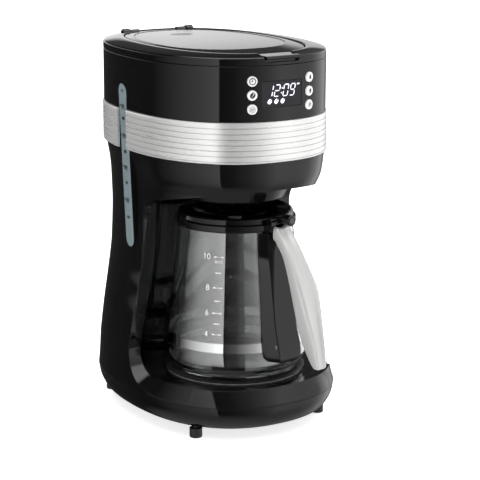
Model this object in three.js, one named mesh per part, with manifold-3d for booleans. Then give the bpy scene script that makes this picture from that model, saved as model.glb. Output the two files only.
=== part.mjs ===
// Drip coffee maker with a glass carafe: a waisted black housing, a ribbed metal band, a hinged lid.
// Millimetres, +Z up. The front faces -Y. Heights are measured from the surface that the feet stand on.
import * as THREE from "three";
import { mergeVertices } from "three/addons/utils/BufferGeometryUtils.js";
import Module from "manifold-3d";

const wasm = await Module();
wasm.setup();

// ---------- driving dimensions ----------
const GAP = 0.3; // clearance between pieces that touch
const MIDDLE_Y = 20.33; // moves the assembly so that the middle of its box is on the origin
const ROUNDNESS = 2.34; // exponent of the housing's plan outline
const WALL = 3; // housing wall
const HEAD = { half: 95, front: 127.2, rear: 127.2, top: 361.5 }; // brew head plan and top
const CREASE_Z = 36; // parting line between housing and base pan
const RIM_Z = 52; // upper edge of the base
const DECK_Z = 50; // floor of the cup bay
const BAND = { low: 270.5, high: 309.5, recess: 1.6, proud: 1.1, ribs: 7 };
const COVER = { edge: 369.5, top: 371.8, mouthHalf: 72.2, mouthLength: 113, depth: 2.5 };
const AXIS_Y = -43; // vertical axis of carafe, funnel and plate, on the plane of symmetry
const BAY = { columnY: -11, column: 13.3, rear: 33, lowBend: 24, highBend: 23, roofBack: 222, roofFront: 243.5 };
const PLATE = { radius: 70, top: 52.8, hole: 66.5 };
const FEET = { x: 71, y: 87, radius: 6.25, height: 9.5 };
const PAN_FLOOR = FEET.height + GAP;
const SCREWS = [[-72, -62], [72, -62], [-60, 80], [60, 80]]; // base screws, [x, y]
const INLET = { x: 0, z: 52, radius: 8 }; // where the cord enters
const GAUGE = { y: 12, low: 171.5, high: 334, width: 17, lowHalf: 88.2, highHalf: 95.4, reach: 127.5, thick: 5 };
const BUTTON = { x: 31.3, z: 334.9, pitch: 13, radius: 4.75, length: 5 };
const GLASS_SIZE = { foot: 53.3, radius: 57.4, low: 189.5, top: 203, wall: 2.4 };
const COLLAR = { low: 198.3, high: 205, radius: 60 };
const CARAFE_LID = { plug: 53.5, radius: 58, top: 212 };
const CARAFE_HINGE = { y: -63, z: 209, radius: 4.3, halfWidth: 5.6, earEnd: 10.5 };
const THUMB = { from: 74.6, reach: 85, z: 212.3, radius: 5.2 }; // the knob on the lid's arm
const STRAP_SCREW = { radius: 2.6, reach: 79, z: 88.7 };
const SHOWER = { radius: 26.5, low: 353, wall: 1.6, holes: 8 };
const DISPLAY = { width: 42.7, height: 24, z: 334.9 };
const LID = { half: 71.4, length: 112.2, low: 366.2, hingeY: 111.5, hingeZ: 369, knuckle: 5, knuckleX: 36 };
const INSERT = { half: 63.5, front: 77, rear: 99 };
const TAB = { half: 18.5, low: 367.2, reach: 128.3 };
const PIN_RADIUS = 1.5; // the lid's hinge pins
const VENT = { x: -2, y: 58, width: 26, slots: 5, pitch: 4 };
const FUNNEL = { radius: 59, lowRadius: 48, low: 224, bend: 243, top: 349, wall: 2 };
const BASKET = { low: 266, shelf: 349.4, top: 351.4, lowRadius: 40, topRadius: 61.5, flange: 68.6, wall: 1.6 };
const VALVE = { tip: 218.5, flangeTop: 230, top: 271.2 };
const TANK = { half: 80.5, rear: 121.5, low: 66, top: 346, wall: 2, frontY: 28 };
const RISER = { x: 66, y: 44, radius: 4.5 };
const OUTLET = { x: -45, y: 70 };
const HEATER_Z = 42;
const HANDLE_TURN = 8; // degrees from straight ahead
const SEGMENTS = 24; // steps round the outer outlines
const INNER_SEGMENTS = 20; // steps round the hidden inner outlines

// The handle's silver outer grip and the black strap on the glass. Each station is the outer reach,
// height, half width, depth towards the carafe, and the angle by which the section leans down.
const GRIP_STATIONS = [
  [67.8, 204.6, 9, 14, 89], [72, 204, 9, 14, 80], [77, 198.6, 9.2, 12.6, 62], [86, 188.5, 9.5, 11.4, 44],
  [93.8, 178, 10, 12.4, 32], [103.5, 163, 11.5, 14.6, 22], [111.6, 147.6, 12.5, 16.6, 17], [119, 125, 10.5, 19, 15],
  [125.3, 103, 8, 19, 11], [129, 86, 6.6, 13.5, 8], [130, 78.5, 5.8, 9.6, 4], [128.4, 76, 4.4, 6, 2],
];
const STRAP_STATIONS = [
  [63.4, 197.4, 17.5, 12, 0], [64, 183, 18.5, 12, 0], [68.5, 160, 19.5, 15, 0], [73.5, 130, 20.5, 17, 0],
  [78, 105, 21.5, 19, 0], [82.5, 90, 22, 20, 0], [84.5, 78, 21, 20, 0], [82.6, 73, 17, 19, 0],
];
// Sections of the two bars: [share of the half width, share of the depth].
const GRIP_SECTION = [[-1, 0.3], [-0.65, 0], [0.65, 0], [1, 0.3], [1, 0.75], [0.65, 1], [-0.65, 1], [-1, 0.75]];
const STRAP_SECTION = [[-1, 1], [-1, 0.62], [-0.66, 0.03], [-0.6, 0], [0.6, 0], [0.66, 0.03], [1, 0.62], [1, 1]];

// Where a column's front face bends forward and turns into the base's slanting rim: how deep the
// slant starts and how far in it ends, first by angle on the bend, then by place along the rim.
const BEND_SLANT = [[20, -0.3, 13], [45, 2, 13], [70, 6, 12.4], [90, 9.5, 11.6]];
const RIM_SLANT = [[-48, 12.6, 9.6], [-62, 14.4, 7.4], [-78, 15.4, 5.2], [-96, 15.7, 3.4]];

// Side half width, front and rear reach of the housing at each height.
// The column narrows to a waist; the head's front half keeps its own, wider, lower wall.
const LEVELS = [
  { z: CREASE_Z, half: 106.8, front: 138.4, rear: 128.4 },
  { z: RIM_Z, half: 105.2, front: 131, rear: 128.3 },
  { z: 66, half: 104.2, front: 128, rear: 128.2 },
  { z: 98.5, half: 99.4, front: 128, rear: 128 },
  { z: 132.5, half: 92.7, front: 128, rear: 127.8 },
  { z: 166.5, half: 87.1, front: 128, rear: 127.6 },
  { z: 208.5, half: 85.2, front: 128, rear: 127.4 },
  { z: 222, half: 85.8, front: 120.5, rear: 127.3 },
  { z: 236, half: 86.4, headHalf: 85.8, front: 119.3, rear: 127.2 },
  { z: 237.5, half: 86.5, headHalf: 86.6, front: 119.8, rear: 127.2 },
  { z: 249.5, half: 87.9, headHalf: 91.8, front: 124.2, rear: 127.2 },
  { z: BAND.low - 0.4, half: 92.5, headHalf: 94.5, front: 126.8, rear: 127.2 },
  { z: BAND.low - GAP, half: 92.5, headHalf: 94.5, front: 126.8, rear: 127.2, recess: BAND.recess },
  { z: BAND.high + GAP, half: HEAD.half, front: HEAD.front, rear: HEAD.rear, recess: BAND.recess },
  { z: BAND.high + 0.4, half: HEAD.half, front: HEAD.front, rear: HEAD.rear },
  { z: HEAD.top, half: HEAD.half, front: HEAD.front, rear: HEAD.rear },
];

const INNER_LEVELS = LEVELS.filter((level) => !level.recess);

// ---------- materials ----------
const finish = (color, roughness, metalness = 0, more = {}) =>
  new THREE.MeshStandardMaterial({ color, roughness, metalness, ...more });
const GLOSS_BLACK = finish(0x0b0b0c, 0.12);
const MATT_BLACK = finish(0x17171a, 0.6);
const STEEL = finish(0xc9cac8, 0.3, 1);
const ALUMINIUM = finish(0xb4b5b5, 0.35, 1);
const SILVER_PAINT = finish(0xc4c5c5, 0.35, 0.5);
const SILICONE = finish(0xd9d6cd, 0.7);
const RUBBER = finish(0x202022, 0.8);
const WHITE_PLASTIC = finish(0xe4e5e4, 0.4);
const BOARD_GREEN = finish(0x1d5a35, 0.5);
const GLASS = finish(0xdfe6e4, 0.03, 0, { transparent: true, opacity: 0.3 });
const SMOKE = finish(0x7c878c, 0.2, 0, { transparent: true, opacity: 0.7 });
const DISPLAY_GREY = finish(0x2b2b2d, 0.15);

// ---------- solids ----------
// A closed geometry as a solid with its faces pointing out.
function solid(geometry) {
  const bare = geometry.index ? geometry.toNonIndexed() : geometry.clone();
  for (const name of Object.keys(bare.attributes)) if (name !== "position") bare.deleteAttribute(name);
  const merged = mergeVertices(bare, 1e-4);
  const mesh = (triVerts) =>
    new wasm.Mesh({ numProp: 3, vertProperties: merged.attributes.position.array, triVerts });
  const faces = new Uint32Array(merged.index.array);
  const made = new wasm.Manifold(mesh(faces));
  if (made.volume() > 0) return made;
  return new wasm.Manifold(mesh(faces.slice().reverse()));
}

function geometryOf(body) {
  const mesh = body.getMesh();
  const geometry = new THREE.BufferGeometry();
  const places = new Float32Array(mesh.numVert * 3);
  for (let i = 0; i < mesh.numVert; i++) {
    places.set(mesh.vertProperties.subarray(i * mesh.numProp, i * mesh.numProp + 3), i * 3);
  }
  geometry.setAttribute("position", new THREE.BufferAttribute(places, 3));
  geometry.setIndex(new THREE.BufferAttribute(new Uint32Array(mesh.triVerts), 1));
  geometry.computeVertexNormals();
  return geometry;
}

function box(low, high) {
  const size = high.map((h, i) => h - low[i]);
  const made = new THREE.BoxGeometry(...size);
  return solid(made.translate(...low.map((l, i) => l + size[i] / 2)));
}

// A disc or ring's section, [radius, height] pairs, turned about a vertical axis at (x, y).
function turned(section, steps = 32, x = 0, y = 0) {
  const points = section.map(([r, z]) => new THREE.Vector2(r, z));
  return solid(new THREE.LatheGeometry(points, steps).rotateX(Math.PI / 2).translate(x, y, 0));
}

function rod(radius, low, high, x = 0, y = 0, steps = 20) {
  return turned([[0, low], [radius, low], [radius, high], [0, high]], steps, x, y);
}

function ring(inner, outer, low, high, x = 0, y = 0, steps = 32) {
  return turned([[inner, low], [outer, low], [outer, high], [inner, high], [inner, low]], steps, x, y);
}

// A rod along X, between two places on it.
function crossRod(radius, fromX, toX, y, z, steps = 14) {
  const made = new THREE.CylinderGeometry(radius, radius, toX - fromX, steps);
  return solid(made.rotateZ(Math.PI / 2).translate((fromX + toX) / 2, y, z));
}

// A round tube or wire through a few points.
function tube(points, radius, steps = 24, sides = 10) {
  const path = new THREE.CatmullRomCurve3(points.map((p) => new THREE.Vector3(...p)));
  const section = new THREE.Shape(
    Array.from({ length: sides }, (_, i) => {
      const turn = (2 * Math.PI * i) / sides;
      return new THREE.Vector2(radius * Math.cos(turn), radius * Math.sin(turn));
    }),
  );
  return solid(new THREE.ExtrudeGeometry(section, { steps, extrudePath: path, bevelEnabled: false }));
}

// Closed convex loops with equal numbers of points, joined in order and capped: [[[x, y, z], ...], ...].
function loft(loops) {
  const count = loops[0].length;
  const last = (loops.length - 1) * count;
  const faces = [];
  for (let start = 0; start < last; start += count) {
    for (let i = 0; i < count; i++) {
      const [a, b] = [start + i, start + ((i + 1) % count)];
      faces.push(a, b, b + count, a, b + count, a + count);
    }
  }
  for (let i = 1; i + 1 < count; i++) faces.push(0, i + 1, i, last, last + i, last + i + 1);
  const geometry = new THREE.BufferGeometry();
  geometry.setAttribute("position", new THREE.Float32BufferAttribute(loops.flat(2), 3));
  geometry.setIndex(faces);
  return solid(geometry);
}

// ---------- housing outlines ----------
const power = (value) => Math.sign(value) * Math.abs(value) ** (2 / ROUNDNESS);

// One loop of the rounded plan outline: side half width, front and rear reach.
function outline(z, half, front, rear = front, frontHalf = half, steps = SEGMENTS) {
  return Array.from({ length: steps }, (_, i) => {
    const turn = (2 * Math.PI * i) / steps;
    const along = power(Math.sin(turn));
    const y = along * (along < 0 ? front : rear);
    const toFront = THREE.MathUtils.smoothstep(-y, 12, 45);
    return [power(Math.cos(turn)) * THREE.MathUtils.lerp(half, frontHalf, toFront), y, z];
  });
}

// The head's plan outline, drawn in, for pieces that fit inside it.
function headOutline(z, inset) {
  return outline(z, HEAD.half - inset, HEAD.front - inset, HEAD.rear - inset, HEAD.half - inset, INNER_SEGMENTS);
}

// The housing's outer form, drawn in by an inset, between two of its levels.
function housingForm(inset, withRecess, levels = LEVELS, steps = SEGMENTS) {
  const loops = levels.map((level) => {
    const cut = inset + (withRecess ? level.recess || 0 : 0);
    const [half, headHalf] = [level.half, level.headHalf || level.half];
    return outline(level.z, half - cut, level.front - cut, level.rear - cut, headHalf - cut, steps);
  });
  return loft(loops);
}

function stretched(levels, below, above) {
  const [first, last] = [levels[0], levels[levels.length - 1]];
  return [{ ...first, z: first.z - below }, ...levels, { ...last, z: last.z + above }];
}

// Side half width of the column at a height.
function columnHalf(z) {
  const above = LEVELS.findIndex((level) => level.z >= z);
  const [low, high] = [LEVELS[Math.max(above - 1, 0)], LEVELS[above]];
  const part = high.z === low.z ? 0 : (z - low.z) / (high.z - low.z);
  return THREE.MathUtils.lerp(low.half, high.half, part);
}

// The cup bay as a solid to cut away, grown by the thickness of the wall around it.
function bay(growth, floor) {
  const { columnY, roofBack, roofFront, lowBend, highBend } = BAY;
  const side = new THREE.Shape();
  const [back, low, high] = [columnY + growth, floor - growth, roofBack + growth];
  side.moveTo(-200, low);
  side.lineTo(back - lowBend, low);
  side.absarc(back - lowBend, low + lowBend, lowBend, -Math.PI / 2, 0, false);
  side.lineTo(back, high - highBend);
  side.absarc(back - highBend, high - highBend, highBend, 0, Math.PI / 2, false);
  side.lineTo(-HEAD.front, roofFront + growth);
  side.lineTo(-200, roofFront + growth);
  const length = 260;
  const slab = new THREE.ExtrudeGeometry(side, { depth: length, bevelEnabled: false, curveSegments: 4 });
  // The side outline lies in Y and Z, and is pushed out along X.
  slab.applyMatrix4(new THREE.Matrix4().set(0, 0, 1, -length / 2, 1, 0, 0, 0, 0, 1, 0, 0, 0, 0, 0, 1));
  const cut = solid(slab).add(tub(growth, DECK_Z - growth, high));
  return cut.add(rimSweep(-1, growth)).add(rimSweep(1, growth));
}

// The room between the columns: straight sides that follow the housing, and a rounded rear.
function tub(growth, low, high) {
  const { columnY, column, rear } = BAY;
  const heights = [low, ...[66, 98.5, 132.5, 166.5, 208.5].filter((z) => z > low && z < high), high];
  const steps = 14;
  const loops = heights.map((z) => {
    const half = columnHalf(THREE.MathUtils.clamp(z, DECK_Z, 220)) - column + growth;
    const round = Array.from({ length: steps + 1 }, (_, i) => {
      const turn = (Math.PI * i) / steps;
      return [power(Math.cos(turn)) * half, columnY + (rear + growth - columnY) * power(Math.sin(turn)), z];
    });
    return [...round, [-half, AXIS_Y, z], [half, AXIS_Y, z]];
  });
  return loft(loops);
}

// The slanting face from a column's lower bend to the base's rim, as a form to cut away.
function rimSweep(sign, growth) {
  const { columnY, lowBend } = BAY;
  const bend = (angle) => {
    const turn = THREE.MathUtils.degToRad(angle);
    const [out, down] = [Math.cos(turn), Math.sin(turn)];
    return { y: columnY - lowBend * (1 - out), z: RIM_Z + lowBend * (1 - down), out, down };
  };
  const rim = (y) => ({ y, z: RIM_Z, out: 0, down: 1 });
  const stations = [
    ...BEND_SLANT.map(([angle, ...slant]) => [bend(angle), ...slant]),
    ...RIM_SLANT.map(([y, ...slant]) => [rim(y), ...slant]),
  ];
  const loops = stations.map(([at, depth, reach]) => {
    const outer = [rimHalf(at.y, at.z - depth * at.down), depth];
    const inner = [rimHalf(at.y, at.z) - reach, 0];
    const along = [inner[0] - outer[0], inner[1] - outer[1]];
    const length = Math.hypot(...along);
    const shift = [(growth * along[1]) / length, (-growth * along[0]) / length];
    const corner = (from, share) => [from[0] + along[0] * share + shift[0], from[1] + along[1] * share + shift[1]];
    const corners = [corner(outer, -0.2), corner(inner, 0.3), [outer[0] + 2, -9]];
    return corners.map(([x, deep]) => [sign * x, at.y + deep * at.out, at.z - deep * at.down]);
  });
  return loft(loops);
}

// Half width of the housing near its rim, at a place along its length.
function rimHalf(y, z) {
  const above = Math.max(LEVELS.findIndex((level) => level.z >= z), 1);
  const [low, high] = [LEVELS[above - 1], LEVELS[above]];
  const part = (z - low.z) / (high.z - low.z);
  const front = THREE.MathUtils.lerp(low.front, high.front, part);
  const half = THREE.MathUtils.lerp(low.half, high.half, part);
  return half * (1 - Math.abs(y / front) ** ROUNDNESS) ** (1 / ROUNDNESS);
}

// ---------- housing and its covers ----------
const floorHole = (radius, low, high, x, y) => rod(radius, low, high, x, y, 8);

function rearY(x, level) {
  return level.rear * (1 - Math.abs(x / level.half) ** ROUNDNESS) ** (1 / ROUNDNESS);
}

function mainHousing() {
  let body = housingForm(0, true).subtract(bay(0, RIM_Z));
  const recessDepth = outline(DECK_Z, 96, 122);
  const deckRecess = loft([recessDepth, recessDepth.map(([x, y]) => [x, y, RIM_Z + 2])]);
  body = body.subtract(deckRecess.subtract(box([-150, BAY.columnY - BAY.lowBend, 0], [150, 150, 80])));
  const inside = housingForm(WALL, false, stretched(INNER_LEVELS, 2, 2), INNER_SEGMENTS).subtract(bay(WALL, DECK_Z));
  body = body.subtract(inside);
  body = body.subtract(rod(PLATE.hole, DECK_Z - 5, DECK_Z + 5, 0, AXIS_Y, 28));
  body = body.subtract(rod(FUNNEL.radius + GAP, BAY.roofBack - 4, BAY.roofFront + 8, 0, AXIS_Y, 24));
  for (const [x, y] of SCREWS) {
    const top = y < 0 ? DECK_Z - 2 : CREASE_Z + 14;
    const wallX = Math.sign(x) * 87;
    // The rear posts stand on a rib from the side wall.
    if (y > 0) body = body.add(box([Math.min(x, wallX), y - 1.5, CREASE_Z + GAP], [Math.max(x, wallX), y + 1.5, top]));
    body = body.add(rod(4.6, CREASE_Z + GAP, top, x, y, 8)).subtract(rod(1.8, CREASE_Z, top - 2, x, y, 8));
  }
  body = body.subtract(gaugeSlot(GAP)).subtract(displayBlock(GAP, 20));
  for (const { x, z, turn } of buttonPlaces()) body = body.subtract(buttonHole(x, z, turn));
  return body.subtract(inletHole());
}

function inletHole() {
  const made = new THREE.CylinderGeometry(INLET.radius + GAP, INLET.radius + GAP, 30, 20);
  return solid(made.translate(INLET.x, rearY(INLET.x, LEVELS[2]), INLET.z));
}

// The skirt and floor below the parting line, with posts for the screws and two vent slots.
function basePan() {
  const levels = [
    { z: PAN_FLOOR, half: 90, front: 120, rear: 114 },
    { z: 12.5, half: 96, front: 127, rear: 120 },
    { z: 19, half: 101.5, front: 133, rear: 124 },
    { z: 27.5, half: 105.2, front: 137, rear: 127.2 },
    { z: CREASE_Z - GAP, half: 106.8, front: 138.4, rear: 128.4 },
  ];
  const form = (set, inset) =>
    loft(set.map((l) => outline(l.z, l.half - inset, l.front - inset, l.rear - inset)));
  const hollow = levels.slice(1).concat({ ...levels[4], z: CREASE_Z + 2 });
  let pan = form(levels, 0).subtract(form(hollow, WALL));
  for (const [x, y] of SCREWS) {
    pan = pan.add(rod(5, PAN_FLOOR + 1, CREASE_Z - GAP, x, y, 8));
    pan = pan.subtract(floorHole(3.8, 0, PAN_FLOOR + 6, x, y)).subtract(floorHole(2, 0, 40, x, y));
  }
  for (const [x, y] of footPlaces()) {
    pan = pan.add(rod(FEET.radius + 0.6, PAN_FLOOR, PAN_FLOOR + 7, x, y, 12)).subtract(floorHole(3.3, 0, 16, x, y));
  }
  for (const y of [60, 76]) pan = pan.subtract(box([-30, y, 0], [30, y + 5, 20]));
  return pan;
}

const footPlaces = () => [[-FEET.x, -FEET.y], [FEET.x, -FEET.y], [-FEET.x, FEET.y], [FEET.x, FEET.y]];

function foot(x, y) {
  const { radius, height } = FEET;
  const section = [[0, 0], [radius - 0.8, 0], [radius, 0.8], [radius, height], [2.8, height], [2.8, 15], [0, 15]];
  return turned(section, 12, x, y);
}

// Driven up through the pan's post into the housing's post.
function baseScrew(x, y) {
  const seat = PAN_FLOOR + 6;
  return turned([[0, seat - 2], [3.2, seat - 2], [3.2, seat - GAP], [1.5, seat - GAP], [1.5, 45], [0, 45]], 8, x, y);
}

// The ring that closes the head: a low wall, a top that slopes up to the lid, a scoop for the finger.
function topCover() {
  const { edge, top, mouthHalf, mouthLength, depth } = COVER;
  const low = HEAD.top + GAP;
  const mouth = (z) => outline(z, mouthHalf, mouthLength);
  const side = (z, by) => outline(z, HEAD.half - by, HEAD.front - by);
  let cover = loft([side(low, 0), side(edge - 1.2, 0), side(edge, 1.2), outline(top, mouthHalf + 1, mouthLength + 1)]);
  cover = cover.add(loft([headOutline(HEAD.top - 6, WALL + GAP), headOutline(low + 1, WALL + GAP)]));
  const inner = 2 * WALL;
  cover = cover.subtract(loft([headOutline(HEAD.top - 7, inner), headOutline(edge - 5, inner)]));
  cover = cover.subtract(loft([side(edge - 5.2, inner), mouth(top - depth), mouth(top + 2)]));
  const tabRoom = TAB.half + 1;
  cover = cover.subtract(box([-tabRoom, -140, TAB.low - 0.6], [tabRoom, -105, top + 5]));
  cover = cover.subtract(box([-TAB.half, -140, edge - 5.2], [TAB.half, -HEAD.front + 4, edge]));
  return withKnuckles(cover);
}

// Two raised bearing blocks at the rear, each bored for a hinge pin, with room for the lid's arms.
function withKnuckles(cover) {
  const { hingeY, hingeZ, knuckle, knuckleX } = LID;
  const rear = hingeY + knuckle + 0.8;
  let made = cover;
  for (const sign of [-1, 1]) {
    const [from, to] = sign < 0 ? [-knuckleX - 5, -knuckleX + 3] : [knuckleX - 3, knuckleX + 5];
    const [armFrom, armTo] = sign < 0 ? [-33, -21] : [21, 33];
    made = made.subtract(box([armFrom, 90, hingeZ - knuckle - 1], [armTo, rear, 380]));
    made = made.add(crossRod(knuckle, from, to, hingeY, hingeZ));
    made = made.add(box([from, hingeY, hingeZ - knuckle + 0.4], [to, hingeY + 6.5, COVER.edge]));
    made = made.subtract(crossRod(PIN_RADIUS + GAP, from - 1, to + 1, hingeY, hingeZ, 12));
  }
  return made;
}

// ---------- lid ----------
// A black frame with an open underside, a front tab and two arms that reach back to the hinge.
function lidFrame() {
  const { half, length, low, hingeY, hingeZ, knuckle } = LID;
  const rim = (z, inset) => outline(z, half - inset, length - inset);
  let frame = loft([rim(low, 0), rim(COVER.top - 1, 0), rim(COVER.top - 0.1, 0.9)]);
  frame = frame.add(box([-TAB.half, -TAB.reach, TAB.low], [TAB.half, -length + 4, COVER.edge + 0.8]));
  frame = frame.subtract(loft([insertLoop(COVER.top - 1.3, -GAP), insertLoop(COVER.top + 2, -GAP)]));
  frame = frame.subtract(loft([rim(low - 1, 8), rim(COVER.top - 3.2, 8)]));
  frame = frame.subtract(ventSlots(COVER.top - 6, COVER.top));
  // Room for the cover's rim to pass when the lid swings up.
  frame = frame.subtract(box([-21.7, hingeY - 3.3, low - 1], [21.7, length + 3, COVER.top + 1]));
  for (const sign of [-1, 1]) {
    const [from, to] = sign < 0 ? [-32.5, -22] : [22, 32.5];
    frame = frame.add(crossRod(knuckle - 1, from, to, hingeY, hingeZ));
    frame = frame.add(box([from, 94, hingeZ - 3.4], [to, hingeY, hingeZ + 1.6]));
    frame = frame.subtract(crossRod(PIN_RADIUS + GAP, from - 1, to + 1, hingeY, hingeZ, 12));
  }
  return frame.add(ring(SHOWER.radius + 1, SHOWER.radius + 2.6, low - 3, COVER.top - 3, 0, AXIS_Y, 32));
}

// The metal insert's outline: it follows the lid but stops short of its front.
function insertLoop(z, inset) {
  return outline(z, INSERT.half - inset, INSERT.front - inset, INSERT.rear - inset);
}

function ventSlots(low, high) {
  const { x, y, width, slots, pitch } = VENT;
  const bars = Array.from({ length: slots }, (_, i) => {
    const row = i - (slots - 1) / 2;
    const reach = (width / 2) * Math.cos((row * Math.PI) / (slots + 1));
    return box([x - reach, y + row * pitch - 1, low], [x + reach, y + row * pitch + 1, high + 2]);
  });
  return bars.reduce((all, slot) => all.add(slot));
}

function lidInsert() {
  const plate = loft([insertLoop(COVER.top - 1, 0), insertLoop(COVER.top, 0)]);
  return plate.subtract(ventSlots(COVER.top - 3, COVER.top));
}

function hingePin(sign) {
  const [from, to] = sign < 0 ? [-LID.knuckleX - 4.5, -22.5] : [22.5, LID.knuckleX + 4.5];
  return crossRod(PIN_RADIUS, from, to, LID.hingeY, LID.hingeZ, 10);
}

// A shallow pan under the lid that spreads the hot water over the grounds.
function showerHead() {
  const { radius, low, wall, holes } = SHOWER;
  const top = COVER.top - 3.6;
  const section = [
    [0, low], [radius - 3, low], [radius, low + 3], [radius, top], [radius - wall, top],
    [radius - wall, low + 3.6], [radius - 3.6, low + wall], [0, low + wall],
  ];
  let pan = turned(section, 24, 0, AXIS_Y);
  for (let i = 0; i < holes; i++) {
    const turn = (2 * Math.PI * i) / holes;
    pan = pan.subtract(rod(1.6, low - 1, low + 3, 15 * Math.cos(turn), AXIS_Y + 15 * Math.sin(turn), 6));
  }
  return pan.subtract(box([-6, AXIS_Y + 20, low + 3.5], [6, AXIS_Y + 30, top + 3]));
}

// ---------- brewing parts in the head ----------
// The inner deck: a lip in the housing, a round well for the basket and the tank's filling mouth.
function innerDeck() {
  const [low, high] = [350, 354];
  let deck = loft([headOutline(low, WALL + GAP), headOutline(high, WALL + GAP)]);
  deck = deck.subtract(rod(70, low - 1, high + 1, 0, AXIS_Y, 28));
  deck = deck.subtract(box([-52, 58, low - 1], [52, 100, high + 1]));
  deck = deck.subtract(box([-40, -130, low - 1], [40, -108, high + 1]));
  return deck.subtract(floorHole(RISER.radius + GAP + 0.5, low - 1, high + 1, RISER.x, RISER.y));
}

// The fixed funnel that the basket stands in; its lower end shows under the head.
function brewFunnel() {
  const { radius, lowRadius, low, bend, top, wall } = FUNNEL;
  const section = [
    [9, low], [lowRadius, low], [radius - 2, bend], [radius - 2, 262], [69, 270], [69, top],
    [69 - wall, top], [69 - wall, 271], [radius - 4, 263.5], [radius - 4, bend + 1], [lowRadius - 1.5, low + wall],
    [9, low + wall], [9, low],
  ];
  return turned(section, 24, 0, AXIS_Y);
}

function filterBasket() {
  const { low, shelf, top, lowRadius, topRadius, flange, wall } = BASKET;
  const section = [
    [5.4, low], [lowRadius, low], [topRadius, shelf], [flange, shelf], [flange, top],
    [topRadius - wall, top], [lowRadius - wall, low + 2], [5.4, low + 2], [5.4, low],
  ];
  return turned(section, 24, 0, AXIS_Y);
}

function meshFilter() {
  const section = [[0, 274.5], [38.6, 274.5], [56.3, 340], [55.5, 340], [38, 275.3], [0, 275.3]];
  return turned(section, 24, 0, AXIS_Y);
}

// The stem of the drip stop: pushed up it lifts the seal off the basket's hole.
function valvePlunger() {
  const { tip, flangeTop, top } = VALVE;
  const section = [[0, tip], [4.5, tip], [6.5, tip + 2], [6.5, flangeTop], [2.6, flangeTop], [2.6, top], [0, top]];
  return turned(section, 16, 0, AXIS_Y);
}

function valveSeal() {
  const low = BASKET.low + 2 + GAP;
  return ring(2.6 + GAP, 9, low, low + 2.4, 0, AXIS_Y, 20);
}

function coil(radius, wire, low, high, turns, sides = 6) {
  const steps = turns * 8;
  const points = Array.from({ length: steps + 1 }, (_, i) => {
    const turn = (2 * Math.PI * turns * i) / steps;
    return [radius * Math.cos(turn), AXIS_Y + radius * Math.sin(turn), low + ((high - low) * i) / steps];
  });
  return tube(points, wire, steps, sides);
}

// ---------- water path ----------
function tankForm(inset, low, high) {
  const { half, rear, frontY } = TANK;
  const loop = (z) => outline(z, half - inset, rear - inset);
  const form = loft([loop(low), loop(high)]);
  const front = box([-100, -150, low - 1], [100, frontY + inset, high + 1]);
  return form.subtract(front).subtract(tub(WALL + 2 + inset, low - 1, high + 1));
}

// Open at the top, where water is poured in, with an outlet stub and a sleeve for the riser.
function waterTank() {
  const { low, top, wall } = TANK;
  const shell = tankForm(0, low, top).subtract(tankForm(wall, low + wall, top + 5));
  const stub = ring(4, 6, low - 12, low + 1, -45, 70, 16);
  const sleeve = rod(RISER.radius + 2.4, low, top, RISER.x, RISER.y, 16);
  const drains = rod(4, low - 14, low + 6, -45, 70, 16).add(rod(RISER.radius + GAP + 0.2, 0, 400, RISER.x, RISER.y, 16));
  return shell.add(stub).add(sleeve).subtract(drains);
}

function riserPipe() {
  const { x, y, radius } = RISER;
  return ring(radius - 1.5, radius, 54, 358, x, y, 14);
}

// Carries the hot water from the riser to the shower head.
function spout() {
  const { x, y, radius } = RISER;
  const path = [[x, y, 358.5], [x - 16, y - 12, 358.5], [36, 8, 358.5], [8, AXIS_Y + 32, 358.5]];
  const arm = tube(path, 2.6, 10, 6);
  return arm.add(ring(radius + GAP, radius + 2, 354.6, 361.2, x, y, 14)).subtract(rod(radius + GAP, 350, 358.4, x, y, 14));
}

// A round heating tube with its water channel, open at the rear where its ends leave.
function heaterRing() {
  const arc = Array.from({ length: 13 }, (_, i) => {
    const turn = THREE.MathUtils.degToRad(115 + (310 * i) / 12);
    return [44 * Math.cos(turn), AXIS_Y + 44 * Math.sin(turn), HEATER_Z];
  });
  return tube([[-24, 24, HEATER_Z - 3], ...arc, [24, 24, HEATER_Z - 3]], 5.6, 24, 7);
}

// The spring strip that presses the heater up against the plate.
function heaterClamp() {
  const strip = box([-54, AXIS_Y - 5, 33.4], [54, AXIS_Y + 5, 35]);
  return strip.subtract(rod(2, 30, 40, 0, AXIS_Y, 10));
}

function thermostat() {
  return rod(8, 36, 43, 0, AXIS_Y - 22, 16).add(box([-10, AXIS_Y - 30, 36], [10, AXIS_Y - 14, 38]));
}

// From the tank's stub down to the heater's left end.
function inletHose() {
  return tube([[-45, 70, 50.5], [-45, 68, 36], [-38, 48, 27], [-27, 30, 34], [-24.5, 27.5, 36]], 4, 14, 6);
}

// From the heater's right end to the foot of the riser.
function outletHose() {
  const { x, y } = RISER;
  return tube([[24.5, 27.5, 36], [30, 34, 32], [46, 42, 28], [x - 2, y - 1, 36], [x, y, 52.5]], 4, 14, 6);
}

function warmingPlate() {
  const { radius, top, hole } = PLATE;
  const skirt = hole - 1.2;
  const section = [
    [0, top - 1.5], [skirt - 1.4, top - 1.5], [skirt - 1.4, 46], [skirt, 46], [skirt, top - 1.2], [radius, top - 1.2],
    [radius, top - 0.4], [radius - 2, top], [radius - 5, top], [radius - 6.5, top - 0.5], [0, top - 0.5],
  ];
  return turned(section, 28, 0, AXIS_Y);
}

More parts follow.
